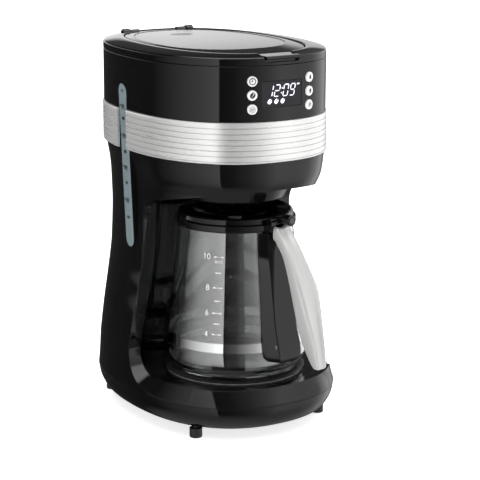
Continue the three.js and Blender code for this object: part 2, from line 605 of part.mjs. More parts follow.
// ---------- controls ----------
function buttonPlaces() {
  const { x, z, pitch } = BUTTON;
  const slope = (x / HEAD.half) ** (ROUNDNESS - 1) / HEAD.half;
  const depth = (1 - (x / HEAD.half) ** ROUNDNESS) ** (1 / ROUNDNESS);
  const turn = Math.atan2(slope, depth ** (ROUNDNESS - 1) / HEAD.front);
  return [-1, 1].flatMap((side) =>
    [1, 0, -1].map((row) => ({ x: side * x, y: -HEAD.front * depth, z: z + row * pitch, turn: side * turn })),
  );
}

const atButton = (body, { x, y, z, turn }) =>
  geometryOf(body).rotateX(Math.PI / 2).rotateZ(turn).translate(x, y, z);

function buttonHole(x, z, turn) {
  const place = buttonPlaces().find((p) => p.x === x && p.z === z);
  return solid(atButton(rod(BUTTON.radius + GAP + 0.1, -8, 4, 0, 0, 14), { ...place, turn }));
}

// Local z is the direction a button stands out in.
function button() {
  const { radius, length } = BUTTON;
  const section = [[0, -length], [radius, -length], [radius, 0.9], [radius - 0.8, 1.5], [0, 1.7]];
  return turned(section, 14);
}

function displayBlock(growth, depth) {
  const { width, height, z } = DISPLAY;
  const [w, h] = [width / 2 + growth, height / 2 + growth];
  return box([-w, -HEAD.front - 5, z - h], [w, -HEAD.front + depth, z + h]);
}

function displayWindow() {
  const levels = LEVELS.slice(-2).map((level, i) => ({ ...level, z: i ? 360 : 311 }));
  const skin = housingForm(0.2, false, levels).subtract(housingForm(1.8, false, stretched(levels, 1, 1)));
  return skin.intersect(displayBlock(0, 8));
}

// ---------- band and gauge ----------
function decorBand() {
  const { low, high, proud, ribs } = BAND;
  const [half, front] = [HEAD.half + proud, HEAD.front + proud];
  const pitch = (high - low - 3) / ribs;
  const rows = [[low, -0.7], [low + 1, 0], [low + 2.2, 0]];
  for (let i = 0; i < ribs; i++) {
    const start = low + 2.2 + i * pitch;
    rows.push([start + 0.6, -0.8], [start + pitch * 0.55, -0.05]);
  }
  rows.push([high, -0.5]);
  const loops = rows.map(([z, out]) => outline(z, half + out, front + out));
  const inner = (z) => outline(z, HEAD.half - BAND.recess + GAP + 0.1, HEAD.front - BAND.recess + GAP + 0.1);
  const sleeve = loft(loops).subtract(loft([inner(low - 1), inner(high + 1)]));
  return sleeve.subtract(gaugeSlot(GAP + 0.2));
}

// A tall round-ended block through the left wall.
function gaugeSlot(growth) {
  const { y, low, high, width } = GAUGE;
  const radius = width / 2 + growth;
  const ends = [low + width / 2, high - width / 2];
  const block = box([-120, y - radius, ends[0]], [-70, y + radius, ends[1]]);
  return ends.reduce((all, z) => all.add(crossRod(radius, -120, -70, y, z, 16)), block);
}

// A straight strip that leans with the wall: proud of the waist, sunk below the band.
function waterGauge() {
  const { low, high, lowHalf, highHalf, reach, thick } = GAUGE;
  const form = (inset) =>
    loft([outline(low - 1, lowHalf - inset, reach), outline(high + 1, highHalf - inset, reach)]);
  const skin = form(0).subtract(form(thick).add(box([0, -200, 0], [200, 200, 400])));
  return skin.intersect(gaugeSlot(0));
}

// ---------- carafe (its own axis is the group's origin, the handle points to -Y) ----------
function glassOuter(growth) {
  const { radius, low, top, foot } = GLASS_SIZE;
  const rows = [
    [60, foot], [66, 57.5], [70.4, 66], [71.6, 77], [70.6, 88], [64.6, 140], [radius + 0.6, low], [radius, top],
  ];
  return rows.map(([r, z]) => [r + growth, z]);
}

function carafeGlass() {
  const { wall, foot } = GLASS_SIZE;
  const outer = glassOuter(0);
  const inner = outer.slice(1).map(([r, z]) => [r - wall, z]).reverse();
  return turned([[0, foot + 1.3], [56, foot + 0.9], ...outer, ...inner, [60.5, 58.6], [56, 56.6], [0, 57]], 30);
}

// The ring clamped round the neck, with two ears that hold the lid's pin.
function carafeCollar() {
  const { low, high, radius } = COLLAR;
  const { y, z, radius: earRadius, halfWidth, earEnd } = CARAFE_HINGE;
  const inner = GLASS_SIZE.radius + GAP + 0.2;
  const section = [[inner, low], [radius - 0.8, low], [radius, low + 1], [radius, high], [inner, high], [inner, low]];
  const ear = (from, to) =>
    crossRod(earRadius, from, to, y, z).add(box([from, y - earRadius, low + 1], [to, y + earRadius, z]));
  let ears = ear(-earEnd, -halfWidth - GAP).add(ear(halfWidth + GAP, earEnd));
  ears = ears.subtract(rod(radius - 0.5, 190, high, 0, 0, 30)).subtract(crossRod(1.7, -12, 12, y, z, 12));
  return turned(section, 30).add(ears);
}

function carafeHingePin() {
  return crossRod(1.4, -10, 10, CARAFE_HINGE.y, CARAFE_HINGE.z, 10);
}

// A low dished cap with drip holes, a plug that enters the neck, and the arm that the thumb lever sits on.
function carafeLid() {
  const { plug, radius, top } = CARAFE_LID;
  const { y, z, radius: barrel, halfWidth } = CARAFE_HINGE;
  const low = COLLAR.high + GAP;
  let cap = turned([
    [0, low + 2], [plug - 7, low + 2], [plug - 5.5, low - 5.5], [plug, low - 5.5], [plug, low], [radius - 0.3, low],
    [radius, low + 1], [radius - 1, top - 1.5], [radius - 3, top], [42, top], [32, low + 4.6], [0, low + 4.4],
  ], 28);
  for (let i = 0; i < 6; i++) {
    const turn = (Math.PI * i) / 3;
    cap = cap.subtract(rod(2.5, low, low + 20, 16 * Math.cos(turn), 16 * Math.sin(turn), 6));
  }
  cap = cap.add(crossRod(barrel, -halfWidth, halfWidth, y, z));
  cap = cap.add(box([-halfWidth, y, low + 0.3], [halfWidth, 6 - radius, z + 2]));
  cap = cap.add(box([-4, -THUMB.from + GAP, z - 0.6], [4, y, z + 4]));
  cap = cap.add(thumbRod(1.9, THUMB.from - 2, THUMB.from + 6));
  return cap.subtract(crossRod(1.7, -12, 12, y, z, 12));
}

// A rod on the thumb lever's axis, which points away from the carafe.
function thumbRod(radius, from, to, steps = 12) {
  const made = new THREE.CylinderGeometry(radius, radius, to - from, steps);
  return solid(made.translate(0, -(from + to) / 2, THUMB.z));
}

// The round knob that the thumb presses, pushed on to the arm's pin.
function thumbLever() {
  const { from, reach, radius } = THUMB;
  return thumbRod(radius, from, reach, 20).subtract(thumbRod(1.9 + GAP, from - 1, from + 6 + GAP));
}

// A bar down the front of the carafe, through stations and with a section as listed at the top.
function bar(stations, corners) {
  const loops = stations.map(([reach, z, half, depth, lean]) => {
    const down = THREE.MathUtils.degToRad(lean);
    return corners.map(([side, part]) => [
      side * half, -reach + part * depth * Math.cos(down), z - part * depth * Math.sin(down),
    ]);
  });
  return loft(loops);
}

// The free-ended outer grip, silver.
function handleShell() {
  return bar(GRIP_STATIONS, GRIP_SECTION);
}

// The inner strap that lies against the glass.
function handleStrap() {
  const strap = bar(STRAP_STATIONS, STRAP_SECTION);
  const hole = crossRod(STRAP_SCREW.radius + GAP, -30, 30, -STRAP_SCREW.reach, STRAP_SCREW.z, 12);
  const [first, ...rest] = glassOuter(0.4);
  const low = GLASS_SIZE.foot;
  return strap.subtract(hole).subtract(turned([[0, low], first, ...rest, [0, GLASS_SIZE.top]], 30));
}

function strapScrew() {
  const { radius, reach, z } = STRAP_SCREW;
  return crossRod(radius, -15.4, 15.4, -reach, z, 12);
}

// ---------- small parts ----------
function cordGland() {
  const { x, z, radius } = INLET;
  const y = rearY(x, LEVELS[2]);
  const section = [
    [3.6, -9], [radius, -9], [radius, 0.8], [radius + 2.4, 0.8], [radius + 2.4, 1.8], [radius - 2, 3.4], [3.6, 3.4], [3.6, -9],
  ];
  return geometryOf(turned(section, 20)).rotateX(-Math.PI / 2).translate(x, y, z);
}

// Sits in the tank's stub and lets water only leave.
function checkValve() {
  const { x, y } = OUTLET;
  return rod(3.4, TANK.low - 8, TANK.low - 2, x, y, 12);
}

// ---------- assembly ----------
const machine = new THREE.Group();
machine.name = "drip_coffee_maker";
machine.position.y = MIDDLE_Y;

function add(name, body, material, group = machine) {
  const mesh = new THREE.Mesh(body.isBufferGeometry ? body : geometryOf(body), material);
  mesh.name = name;
  group.add(mesh);
}

function addHousing() {
  add("main_housing", mainHousing(), GLOSS_BLACK);
  add("base_pan", basePan(), GLOSS_BLACK);
  add("top_cover", topCover(), GLOSS_BLACK);
  add("inner_deck", innerDeck(), MATT_BLACK);
  add("decor_band", decorBand(), STEEL);
  add("water_gauge", waterGauge(), SMOKE);
  add("cord_gland", cordGland(), MATT_BLACK);
  const corner = (y, x) => (y < 0 ? "front" : "rear") + (x < 0 ? "_left" : "_right");
  for (const [x, y] of footPlaces()) add("foot_" + corner(y, x), foot(x, y), RUBBER);
  for (const [x, y] of SCREWS) add("base_screw_" + corner(y, x), baseScrew(x, y), STEEL);
}

function addLid() {
  add("lid_frame", lidFrame(), GLOSS_BLACK);
  add("lid_insert", lidInsert(), STEEL);
  add("shower_head", showerHead(), MATT_BLACK);
  add("hinge_pin_left", hingePin(-1), STEEL);
  add("hinge_pin_right", hingePin(1), STEEL);
}

function addBrewParts() {
  add("brew_funnel", brewFunnel(), MATT_BLACK);
  add("filter_basket", filterBasket(), MATT_BLACK);
  add("mesh_filter", meshFilter(), STEEL);
  add("valve_plunger", valvePlunger(), WHITE_PLASTIC);
  add("valve_seal", valveSeal(), SILICONE);
  add("valve_spring", coil(4.2, 0.5, VALVE.flangeTop + 0.9, BASKET.low - 0.9, 4, 4), STEEL);
}

function addWaterPath() {
  add("water_tank", waterTank(), MATT_BLACK);
  add("riser_pipe", riserPipe(), WHITE_PLASTIC);
  add("spout", spout(), MATT_BLACK);
  add("heater_ring", heaterRing(), ALUMINIUM);
  add("heater_clamp", heaterClamp(), STEEL);
  add("thermostat", thermostat(), MATT_BLACK);
  add("thermal_fuse", crossRod(2, -11, 11, AXIS_Y - 22, 33), WHITE_PLASTIC);
  add("check_valve", checkValve(), WHITE_PLASTIC);
  add("inlet_hose", inletHose(), SILICONE);
  add("outlet_hose", outletHose(), SILICONE);
  add("warming_plate", warmingPlate(), MATT_BLACK);
  add("plate_seal", ring(PLATE.hole - 0.6, PLATE.radius - 1, DECK_Z + GAP, PLATE.top - 1.5, 0, AXIS_Y, 32), SILICONE);
}

function addControls() {
  add("display_window", displayWindow(), DISPLAY_GREY);
  add("display_module", box([-18, -122.2, 325], [18, -118.6, 345]), MATT_BLACK);
  add("control_board", box([-33, -116, 314], [33, -114.4, 349]), BOARD_GREEN);
  const names = ["clock", "brew", "strength", "up", "down", "power"];
  buttonPlaces().forEach((place, i) => {
    add("button_" + names[i], atButton(button(), place), WHITE_PLASTIC);
  });
}

function addCarafe() {
  const carafe = new THREE.Group();
  carafe.position.y = AXIS_Y;
  carafe.rotation.z = THREE.MathUtils.degToRad(HANDLE_TURN);
  machine.add(carafe);
  add("carafe_glass", carafeGlass(), GLASS, carafe);
  add("carafe_collar", carafeCollar(), GLOSS_BLACK, carafe);
  add("carafe_hinge_pin", carafeHingePin(), STEEL, carafe);
  add("carafe_lid", carafeLid(), GLOSS_BLACK, carafe);
  add("thumb_lever", thumbLever(), GLOSS_BLACK, carafe);
  add("handle_shell", handleShell(), SILVER_PAINT, carafe);
  add("handle_strap", handleStrap(), GLOSS_BLACK, carafe);
  add("strap_screw", strapScrew(), STEEL, carafe);
}

addHousing();
addLid();
addBrewParts();
addWaterPath();
addControls();
addCarafe();

export default machine;
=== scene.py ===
# The looks of the drip coffee maker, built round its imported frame.
# Shapes are drawn in millimetres in the machine's own frame and put down in metres.
import math

import bmesh
import bpy
import numpy as np
from mathutils import Matrix, Vector


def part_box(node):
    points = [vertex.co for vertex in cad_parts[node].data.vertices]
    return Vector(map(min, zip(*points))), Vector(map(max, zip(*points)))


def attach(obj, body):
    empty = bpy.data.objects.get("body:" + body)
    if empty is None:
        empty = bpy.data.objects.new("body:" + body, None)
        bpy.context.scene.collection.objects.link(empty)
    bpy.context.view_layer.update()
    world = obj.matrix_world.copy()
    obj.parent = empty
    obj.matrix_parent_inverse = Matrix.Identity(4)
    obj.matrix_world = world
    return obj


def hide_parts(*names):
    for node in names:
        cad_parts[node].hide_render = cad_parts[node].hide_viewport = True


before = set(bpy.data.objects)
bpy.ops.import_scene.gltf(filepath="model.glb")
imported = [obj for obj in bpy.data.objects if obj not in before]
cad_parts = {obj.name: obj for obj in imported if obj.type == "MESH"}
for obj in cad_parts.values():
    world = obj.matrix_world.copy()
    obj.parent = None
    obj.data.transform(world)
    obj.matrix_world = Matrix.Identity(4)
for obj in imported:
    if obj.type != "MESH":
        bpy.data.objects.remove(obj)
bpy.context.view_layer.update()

# ---------- driving dimensions, millimetres ----------
MM = 0.001
ROUNDNESS = 2.34  # exponent of the housing's plan outline
WALL, GAP = 3.0, 0.3
AXIS_Y = -43.0  # vertical axis of carafe, funnel and warming plate
ON_AXIS = (0.0, AXIS_Y)
HANDLE_TURN = 8.0  # degrees
HEAD_HALF, HEAD_FRONT, HEAD_TOP = 95.0, 127.2, 361.5
CREASE_Z, RIM_Z, DECK_Z, CHIN_Z = 36.0, 52.0, 50.0, 237.5
BAND_LOW, BAND_HIGH, BAND_PROUD, BAND_RECESS, BAND_RIBS = 270.5, 309.5, 1.1, 1.6, 7
COLUMN_Y, COLUMN_WIDE, BAY_REAR = -11.0, 13.3, 33.0
LOW_BEND, HIGH_BEND = 24.0, 23.0  # radii of the columns' arcs, seen from the side
ROOF_BACK, ROOF_FRONT = 222.0, 243.5
PLATE_HOLE, FUNNEL_HOLE = 66.5, 59.3
GAUGE_Y, GAUGE_LOW, GAUGE_HIGH, GAUGE_WIDTH = 12.0, 171.5, 334.0, 17.0
GAUGE_LOW_HALF, GAUGE_HIGH_HALF, GAUGE_REACH, GAUGE_THICK = 88.2, 95.4, 127.5, 5.0
AROUND = 240  # steps round the big outlines
WIDEN_FROM, WIDEN_OVER = 12.0, 33.0  # forward of the middle, where the head gets wider than the column

band_low, band_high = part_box("decor_band")
MIDDLE_Y = (band_low.y + band_high.y) / 2 / MM

# z, half width at the column, half width at the head, front reach, rear reach
COLUMN = [
    (36.0, 106.8, 138.4, 128.4), (52.0, 105.2, 131.0, 128.3), (66.0, 104.2, 128.0, 128.2),
    (98.5, 99.4, 128.0, 128.0), (132.5, 92.7, 128.0, 127.8), (166.5, 87.1, 128.0, 127.6),
    (208.5, 85.2, 128.0, 127.4), (222.0, 85.8, 120.5, 127.3), (237.4, 86.5, 119.7, 127.2),
]
CHIN = [(237.5, 86.5, 86.6, 119.8), (249.5, 87.9, 91.8, 124.2), (270.2, 92.5, 94.5, 126.8)]


# ---------- curves ----------
def smooth_table(rows, heights):
    """The columns of a table read at other heights, on curves that never overshoot."""
    rows = np.array(rows, float)
    z, out = rows[:, 0], []
    for column in rows[:, 1:].T:
        step = np.diff(column) / np.diff(z)
        slope = np.zeros(len(z))
        for i in range(1, len(z) - 1):
            if step[i - 1] * step[i] > 0:
                slope[i] = 2 * step[i - 1] * step[i] / (step[i - 1] + step[i])
        slope[0], slope[-1] = step[0], step[-1]
        found = np.clip(np.searchsorted(z, heights) - 1, 0, len(z) - 2)
        width = z[found + 1] - z[found]
        t = (np.asarray(heights) - z[found]) / width
        out.append(
            (2 * t**3 - 3 * t**2 + 1) * column[found] + (t**3 - 2 * t**2 + t) * width * slope[found]
            + (3 * t**2 - 2 * t**3) * column[found + 1] + (t**3 - t**2) * width * slope[found + 1]
        )
    return np.array(out).T


def rounded(points, radius, steps=4):
    """A closed outline with its corners replaced by arcs. radius is one number or one per corner."""
    points = [np.array(p, float) for p in points]
    radii = radius if hasattr(radius, "__len__") else [radius] * len(points)
    out = []
    for i, here in enumerate(points):
        before, after = points[i - 1], points[(i + 1) % len(points)]
        a, b = before - here, after - here
        la, lb = np.linalg.norm(a), np.linalg.norm(b)
        a, b = a / la, b / lb
        half = math.acos(max(-1.0, min(1.0, float(a @ b)))) / 2
        if radii[i] < 1e-6 or half > 1.55:
            out.append(here)
            continue
        reach = min(radii[i] / math.tan(half), 0.49 * la, 0.49 * lb)
        start, end = here + a * reach, here + b * reach
        middle = here + (a + b) / np.linalg.norm(a + b) * reach / math.cos(half)
        sweep = math.pi - 2 * half
        for t in np.linspace(0, 1, steps + 1):
            from_start, from_end = math.sin((1 - t) * sweep), math.sin(t * sweep)
            out.append(middle + (from_start * (start - middle) + from_end * (end - middle)) / math.sin(sweep))
    return np.array(out)


def squared(wave):
    """A cosine or sine as the rounded plan outline takes it."""
    return np.sign(wave) * np.abs(wave) ** (2 / ROUNDNESS)


def bowed(reach, across, width):
    """How far the plan outline reaches at a place across its width."""
    return reach * (1 - abs(across / width) ** ROUNDNESS) ** (1 / ROUNDNESS)


def turn_samples(count):
    """Angles that space points evenly along a reference outline."""
    dense = np.linspace(0, 2 * math.pi, 7201)
    x, y = squared(np.cos(dense)) * HEAD_HALF, squared(np.sin(dense)) * HEAD_FRONT
    run = np.concatenate([[0], np.cumsum(np.hypot(np.diff(x), np.diff(y)))])
    return np.interp(np.linspace(0, run[-1], count, endpoint=False), run, dense)


TURNS = turn_samples(AROUND)


def outline(z, half, front, rear=None, head_half=None):
    """One loop of the rounded plan outline at a height. head_half is the half width towards the front."""
    rear = front if rear is None else rear
    head_half = half if head_half is None else head_half
    along = squared(np.sin(TURNS))
    y = along * np.where(along < 0, front, rear)
    t = np.clip((-y - WIDEN_FROM) / WIDEN_OVER, 0, 1)
    x = squared(np.cos(TURNS)) * (half + (head_half - half) * t * t * (3 - 2 * t))
    return np.stack([x, y, np.full_like(x, z)], 1)


# ---------- meshes ----------
def loft(loops, caps=True):
    """Loops of equal length joined in their order."""
    loops = [np.asarray(loop, float) for loop in loops]
    n = len(loops[0])
    faces = []
    for r in range(len(loops) - 1):
        for i in range(n):
            j = (i + 1) % n
            faces.append((r * n + i, r * n + j, (r + 1) * n + j, (r + 1) * n + i))
    if caps:
        faces.append(tuple(range(n - 1, -1, -1)))
        faces.append(tuple(range((len(loops) - 1) * n, len(loops) * n)))
    return np.concatenate(loops), faces


def closed_loft(loops):
    """Loops that close on themselves, for rings and sleeves."""
    verts, faces = loft(loops, caps=False)
    n, last = len(loops[0]), (len(loops) - 1) * len(loops[0])
    faces += [(last + i, last + (i + 1) % n, (i + 1) % n, i) for i in range(n)]
    return verts, faces


def turned(section, steps=96, centre=(0.0, 0.0)):
    """A closed section of (radius, height) turned about a vertical axis."""
    section = np.asarray(section, float)
    turns = np.linspace(0, 2 * math.pi, steps, endpoint=False)
    loops = []
    for r, z in section:
        r = max(r, 1e-4)
        x, y = centre[0] + r * np.cos(turns), centre[1] + r * np.sin(turns)
        loops.append(np.stack([x, y, np.full(steps, z)], 1))
    return closed_loft(loops)


def rod(radius, low, high, steps, centre=(0.0, 0.0), bore=0.0):
    """An upright cylinder, or a tube if it has a bore."""
    return turned([(bore, low), (radius, low), (radius, high), (bore, high)], steps, centre)


def block(low, high):
    x_pair, y_pair, z_pair = zip(low, high)
    corners = [(x, y, z) for z in z_pair for y in y_pair for x in x_pair]
    faces = [(0, 2, 3, 1), (4, 5, 7, 6), (0, 1, 5, 4), (2, 6, 7, 3), (1, 3, 7, 5), (0, 4, 6, 2)]
    return np.array(corners, float), faces


def extruded(points, low, high, axis=0):
    """A flat outline pushed out along an axis. axis 0: points are (y, z); 1: (x, z); 2: (x, y)."""
    points = np.asarray(points, float)

    def place(at):
        full = np.full(len(points), at)
        a, b = points[:, 0], points[:, 1]
        return np.stack([(full, a, b), (a, full, b), (a, b, full)][axis], 1)

    return loft([place(low), place(high)])


def joined(*parts):
    verts, faces, base = [], [], 0
    for v, f in parts:
        verts.append(np.asarray(v, float))
        faces += [tuple(i + base for i in face) for face in f]
        base += len(v)
    return np.concatenate(verts), faces


def in_machine(verts):
    return (np.asarray(verts, float) + [0, MIDDLE_Y, 0]) * MM


def in_carafe(verts):
    turn = math.radians(HANDLE_TURN)
    c, s = math.cos(turn), math.sin(turn)
    v = np.asarray(verts, float)
    x, y = v[:, 0] * c - v[:, 1] * s, v[:, 0] * s + v[:, 1] * c
    return np.stack([x, y + AXIS_Y + MIDDLE_Y, v[:, 2]], 1) * MM


def new_object(name, data):
    obj = bpy.data.objects.new(name, data)
    bpy.context.scene.collection.objects.link(obj)
    return obj


def mesh_object(name, part, place=in_machine):
    verts, faces = part
    mesh = bpy.data.meshes.new(name)
    mesh.from_pydata(place(verts).tolist(), [], faces)
    bm = bmesh.new()
    bm.from_mesh(mesh)
    bmesh.ops.remove_doubles(bm, verts=bm.verts, dist=2e-7)
    bmesh.ops.recalc_face_normals(bm, faces=bm.faces)
    bm.to_mesh(mesh)
    bm.free()
    return new_object(name, mesh)


def cut(obj, parts, place=in_machine, operation="DIFFERENCE"):
    """Cuts solids out of a piece, or joins them to it, and keeps the result as its mesh.

    Each solid is a (points, faces) pair, or an object that is used up."""
    for part in parts:
        tool = part if isinstance(part, bpy.types.Object) else mesh_object("tool", part, place)
        modifier = obj.modifiers.new("cut", "BOOLEAN")
        modifier.operation, modifier.solver, modifier.object = operation, "EXACT", tool
        bpy.context.view_layer.update()
        evaluated = obj.evaluated_get(bpy.context.evaluated_depsgraph_get())
        result = bpy.data.meshes.new_from_object(evaluated)
        obj.modifiers.clear()
        obj.data = result
        bpy.data.objects.remove(tool)


def finish_piece(obj, body, material, replaces=(), angle=32):
    """Smooth faces with edges kept beyond an angle, the material, and the piece's place in the frame."""
    mesh = obj.data
    mesh.polygons.foreach_set("use_smooth", np.ones(len(mesh.polygons), bool))
    mesh.set_sharp_from_angle(angle=math.radians(angle))
    normals = obj.modifiers.new("normals", "WEIGHTED_NORMAL")
    normals.keep_sharp, normals.weight = True, 90
    mesh.materials.clear()
    mesh.materials.append(material)
    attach(obj, body)
    if replaces:
        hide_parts(*replaces)


def make(name, part, body, material, replaces=(), place=in_machine, angle=32):
    finish_piece(mesh_object(name, part, place), body, material, replaces, angle)


# ---------- materials ----------
def new_material(name):
    material = bpy.data.materials.new(name)
    material.use_nodes = True
    tree = material.node_tree
    return material, tree, tree.nodes["Principled BSDF"]


def fill(made, inputs):
    """Gives a node's inputs their values, or links them to the outputs of other nodes."""
    for key, value in inputs.items():
        socket = made.inputs[key]
        if isinstance(value, bpy.types.NodeSocket):
            socket.id_data.links.new(value, socket)
        else:
            socket.default_value = value
    return made


def node(tree, kind, **inputs):
    made = tree.nodes.new("ShaderNode" + kind)
    return fill(made, {key.replace("_", " "): value for key, value in inputs.items()})


def maths(tree, operation, *values):
    made = node(tree, "Math")
    made.operation = operation
    return fill(made, dict(enumerate(values))).outputs[0]


def axes(tree, coordinates):
    """The three parts of a texture coordinate, by name."""
    source = node(tree, "TexCoord").outputs[coordinates]
    return fill(node(tree, "SeparateXYZ"), {0: source}).outputs


def mixed(tree, share, first, second):
    """A shader between two."""
    return fill(node(tree, "MixShader"), {0: share, 1: first.outputs[0], 2: second.outputs[0]}).outputs[0]


def noise(tree, scale, detail, stretch=None):
    """Noise in object space, per metre, optionally stretched along an axis."""
    source = node(tree, "TexCoord").outputs["Object"]
    if stretch:
        source = node(tree, "Mapping", Vector=source, Scale=stretch).outputs["Vector"]
    return node(tree, "TexNoise", Vector=source, Scale=scale, Detail=detail).outputs["Fac"]


def mapped(tree, source, low, high):
    """A share from 0 to 1 spread over a range."""
    return node(tree, "MapRange", Value=source, To_Min=low, To_Max=high).outputs["Result"]


def risen(tree, source, start, end):
    """0 below a start, 1 above an end."""
    return node(tree, "MapRange", Value=source, From_Min=start, From_Max=end).outputs["Result"]


def colour_between(tree, share, low, high):
    """A colour between two, each given as red, green and blue or as a node's output."""
    made = node(tree, "Mix")
    made.data_type = "RGBA"
    low, high = (c if isinstance(c, bpy.types.NodeSocket) else (*c, 1) for c in (low, high))
    return fill(made, {0: share, 6: low, 7: high}).outputs[2]


def handled(tree, low, high, gloss, spread):
    """A colour that drifts a little and a gloss that varies with handling."""
    return {"Base Color": colour_between(tree, noise(tree, 9.0, 2.0), low, high),
            "Roughness": mapped(tree, noise(tree, 45.0, 5.0), gloss, gloss + spread)}


def bumped(tree, shader, height, strength, distance, base=None):
    bump = node(tree, "Bump", Height=height, Strength=strength, Distance=distance)
    if base:
        fill(bump, {"Normal": base})
    fill(shader, {"Normal": bump.outputs["Normal"]})


def plastic(name, low, high, gloss, spread, grain=0.0, edge=0.0, specular=0.5):
    """Moulded plastic, with grain if it is textured and with edges softened by a radius."""
    material, tree, shader = new_material(name)
    fill(shader, handled(tree, low, high, gloss, spread) | {"Specular IOR Level": specular})
    base = None
    if edge:
        bevel = node(tree, "Bevel", Radius=edge)
        bevel.samples = 6
        base = bevel.outputs["Normal"]
        fill(shader, {"Normal": base})
    if grain:
        bumped(tree, shader, noise(tree, 2600.0, 2.0), grain, 0.00004, base)
    return material


def strip_with_shaded_sides(name, low, high, gloss, spread):
    """A smoky strip facing -X, whose narrow sides are painted black as shade."""
    material, tree, shader = new_material(name)
    looks = handled(tree, low, high, gloss, spread)
    # Faces turned to -X keep the smoky colour; the narrow sides get painted shade in black.
    shaded_side = risen(tree, axes(tree, "Normal")["X"], -0.8, -0.6)
    looks["Base Color"] = colour_between(tree, shaded_side, looks["Base Color"], (0.004, 0.004, 0.004))
    fill(shader, looks)
    return material


def metal(name, low, high, gloss, spread, stretch, bump=0.06, metallic=1.0):
    """Brushed metal or metallic paint: fine lines in colour, gloss and height along the brushing."""
    material, tree, shader = new_material(name)
    lines = noise(tree, 900.0, 4.0, stretch)
    fill(shader, {"Base Color": colour_between(tree, lines, low, high),
                  "Roughness": mapped(tree, lines, gloss, gloss + spread), "Metallic": metallic})
    bumped(tree, shader, lines, bump, 0.00002)
    return material


def glow(name, colour, strength):
    material, tree, shader = new_material(name)
    dimmer = tuple(c * 0.94 for c in colour)
    light = colour_between(tree, noise(tree, 300.0, 1.0), colour, dimmer)
    fill(shader, {"Emission Color": light, "Base Color": (*colour, 1), "Emission Strength": strength})
    return material


def clear_glass(name, shine, ring_painted_reflection, ring_low, ring_high):
    """Clear glass with a mirror share raised in the thick ring above its foot, between two heights in metres,
    as a painted reflection.
    """
    material, tree, shader = new_material(name)
    fill(shader, {"Transmission Weight": 1.0, "IOR": 1.47, "Base Color": (0.74, 0.755, 0.745, 1),
                  "Roughness": mapped(tree, noise(tree, 30.0, 2.0), 0.0, 0.012)})
    mirror = node(tree, "BsdfAnisotropic", Roughness=0.02, Color=(0.96, 0.97, 0.97, 1))
    height, edge = axes(tree, "Object")["Z"], 0.0006
    # The mirror share rises in a band between two heights: a painted reflection, more mirror than the glass
    # has.
    above = [risen(tree, height, z - edge, z + edge) for z in (ring_low, ring_high)]
    share = mapped(tree, maths(tree, "SUBTRACT", *above), shine, ring_painted_reflection)
    fill(tree.nodes["Material Output"], {"Surface": mixed(tree, share, shader, mirror)})
    return material


# Name, the two colours it drifts between, gloss and how much the gloss varies.
GLOSS_BLACK = plastic("gloss_black", (0.0025, 0.0025, 0.0027), (0.004, 0.004, 0.0042), 0.03, 0.03,
                      edge=0.0008)
MATT_BLACK = plastic("matt_black", (0.012, 0.012, 0.013), (0.02, 0.02, 0.022), 0.45, 0.12, grain=0.6)
RUBBER = plastic("rubber", (0.010, 0.010, 0.010), (0.018, 0.018, 0.018), 0.5, 0.15, grain=0.8)
WHITE = plastic("white_plastic", (0.70, 0.71, 0.70), (0.78, 0.78, 0.77), 0.3, 0.1, grain=0.2)
BUTTON_WHITE = plastic("button_white", (0.78, 0.79, 0.78), (0.84, 0.85, 0.84), 0.3, 0.06, grain=0.05)
SILICONE = plastic("silicone", (0.62, 0.60, 0.56), (0.7, 0.68, 0.64), 0.5, 0.1, grain=0.4)
BOARD = plastic("board", (0.02, 0.11, 0.045), (0.03, 0.15, 0.06), 0.35, 0.1, grain=0.3)
COATING = plastic("plate_coating", (0.012, 0.012, 0.013), (0.022, 0.022, 0.023), 0.3, 0.15, grain=0.9)
DISPLAY = plastic("display", (0.024, 0.024, 0.027), (0.03, 0.03, 0.033), 0.3, 0.05, specular=0.1)
GAUGE = strip_with_shaded_sides("gauge_smoke", (0.14, 0.185, 0.2), (0.19, 0.235, 0.25), 0.16, 0.08)
SILVER = metal("silver_paint", (0.52, 0.525, 0.515), (0.58, 0.585, 0.575), 0.28, 0.06, (1.0, 1.0, 1.0),
               0.02, 0.35)
PRINT_WHITE = plastic("print_white", (0.8, 0.8, 0.8), (0.86, 0.86, 0.86), 0.4, 0.1)
PRINT_BLACK = plastic("print_black", (0.01, 0.01, 0.01), (0.016, 0.016, 0.016), 0.4, 0.1)
PRINT_GREY = plastic("print_grey", (0.03, 0.035, 0.04), (0.04, 0.045, 0.05), 0.4, 0.1)
PRINT_PALE = plastic("print_pale", (0.3, 0.31, 0.31), (0.36, 0.37, 0.37), 0.4, 0.1)
BAND_METAL = metal("band_metal", (0.84, 0.84, 0.83), (0.88, 0.88, 0.87), 0.26, 0.04, (0.02, 0.02, 1.0),
                   0.015, 0.68)
INSERT_METAL = metal("brushed_insert", (0.88, 0.885, 0.89), (0.93, 0.935, 0.94), 0.2, 0.03,
                     (1.0, 0.015, 1.0), 0.02)
STEEL = metal("steel", (0.45, 0.45, 0.45), (0.56, 0.56, 0.56), 0.25, 0.1, (1.0, 1.0, 0.1))
CAST = metal("cast_aluminium", (0.45, 0.45, 0.46), (0.56, 0.56, 0.57), 0.4, 0.15, (1.0, 1.0, 1.0))
LIT = glow("lit_figures", (0.86, 0.80, 0.95), 1.0)
# The ring's mirror share of 0.9 is a painted reflection.
GLASS = clear_glass("carafe_glass", 0.18, 0.9, 0.0825, 0.0915)

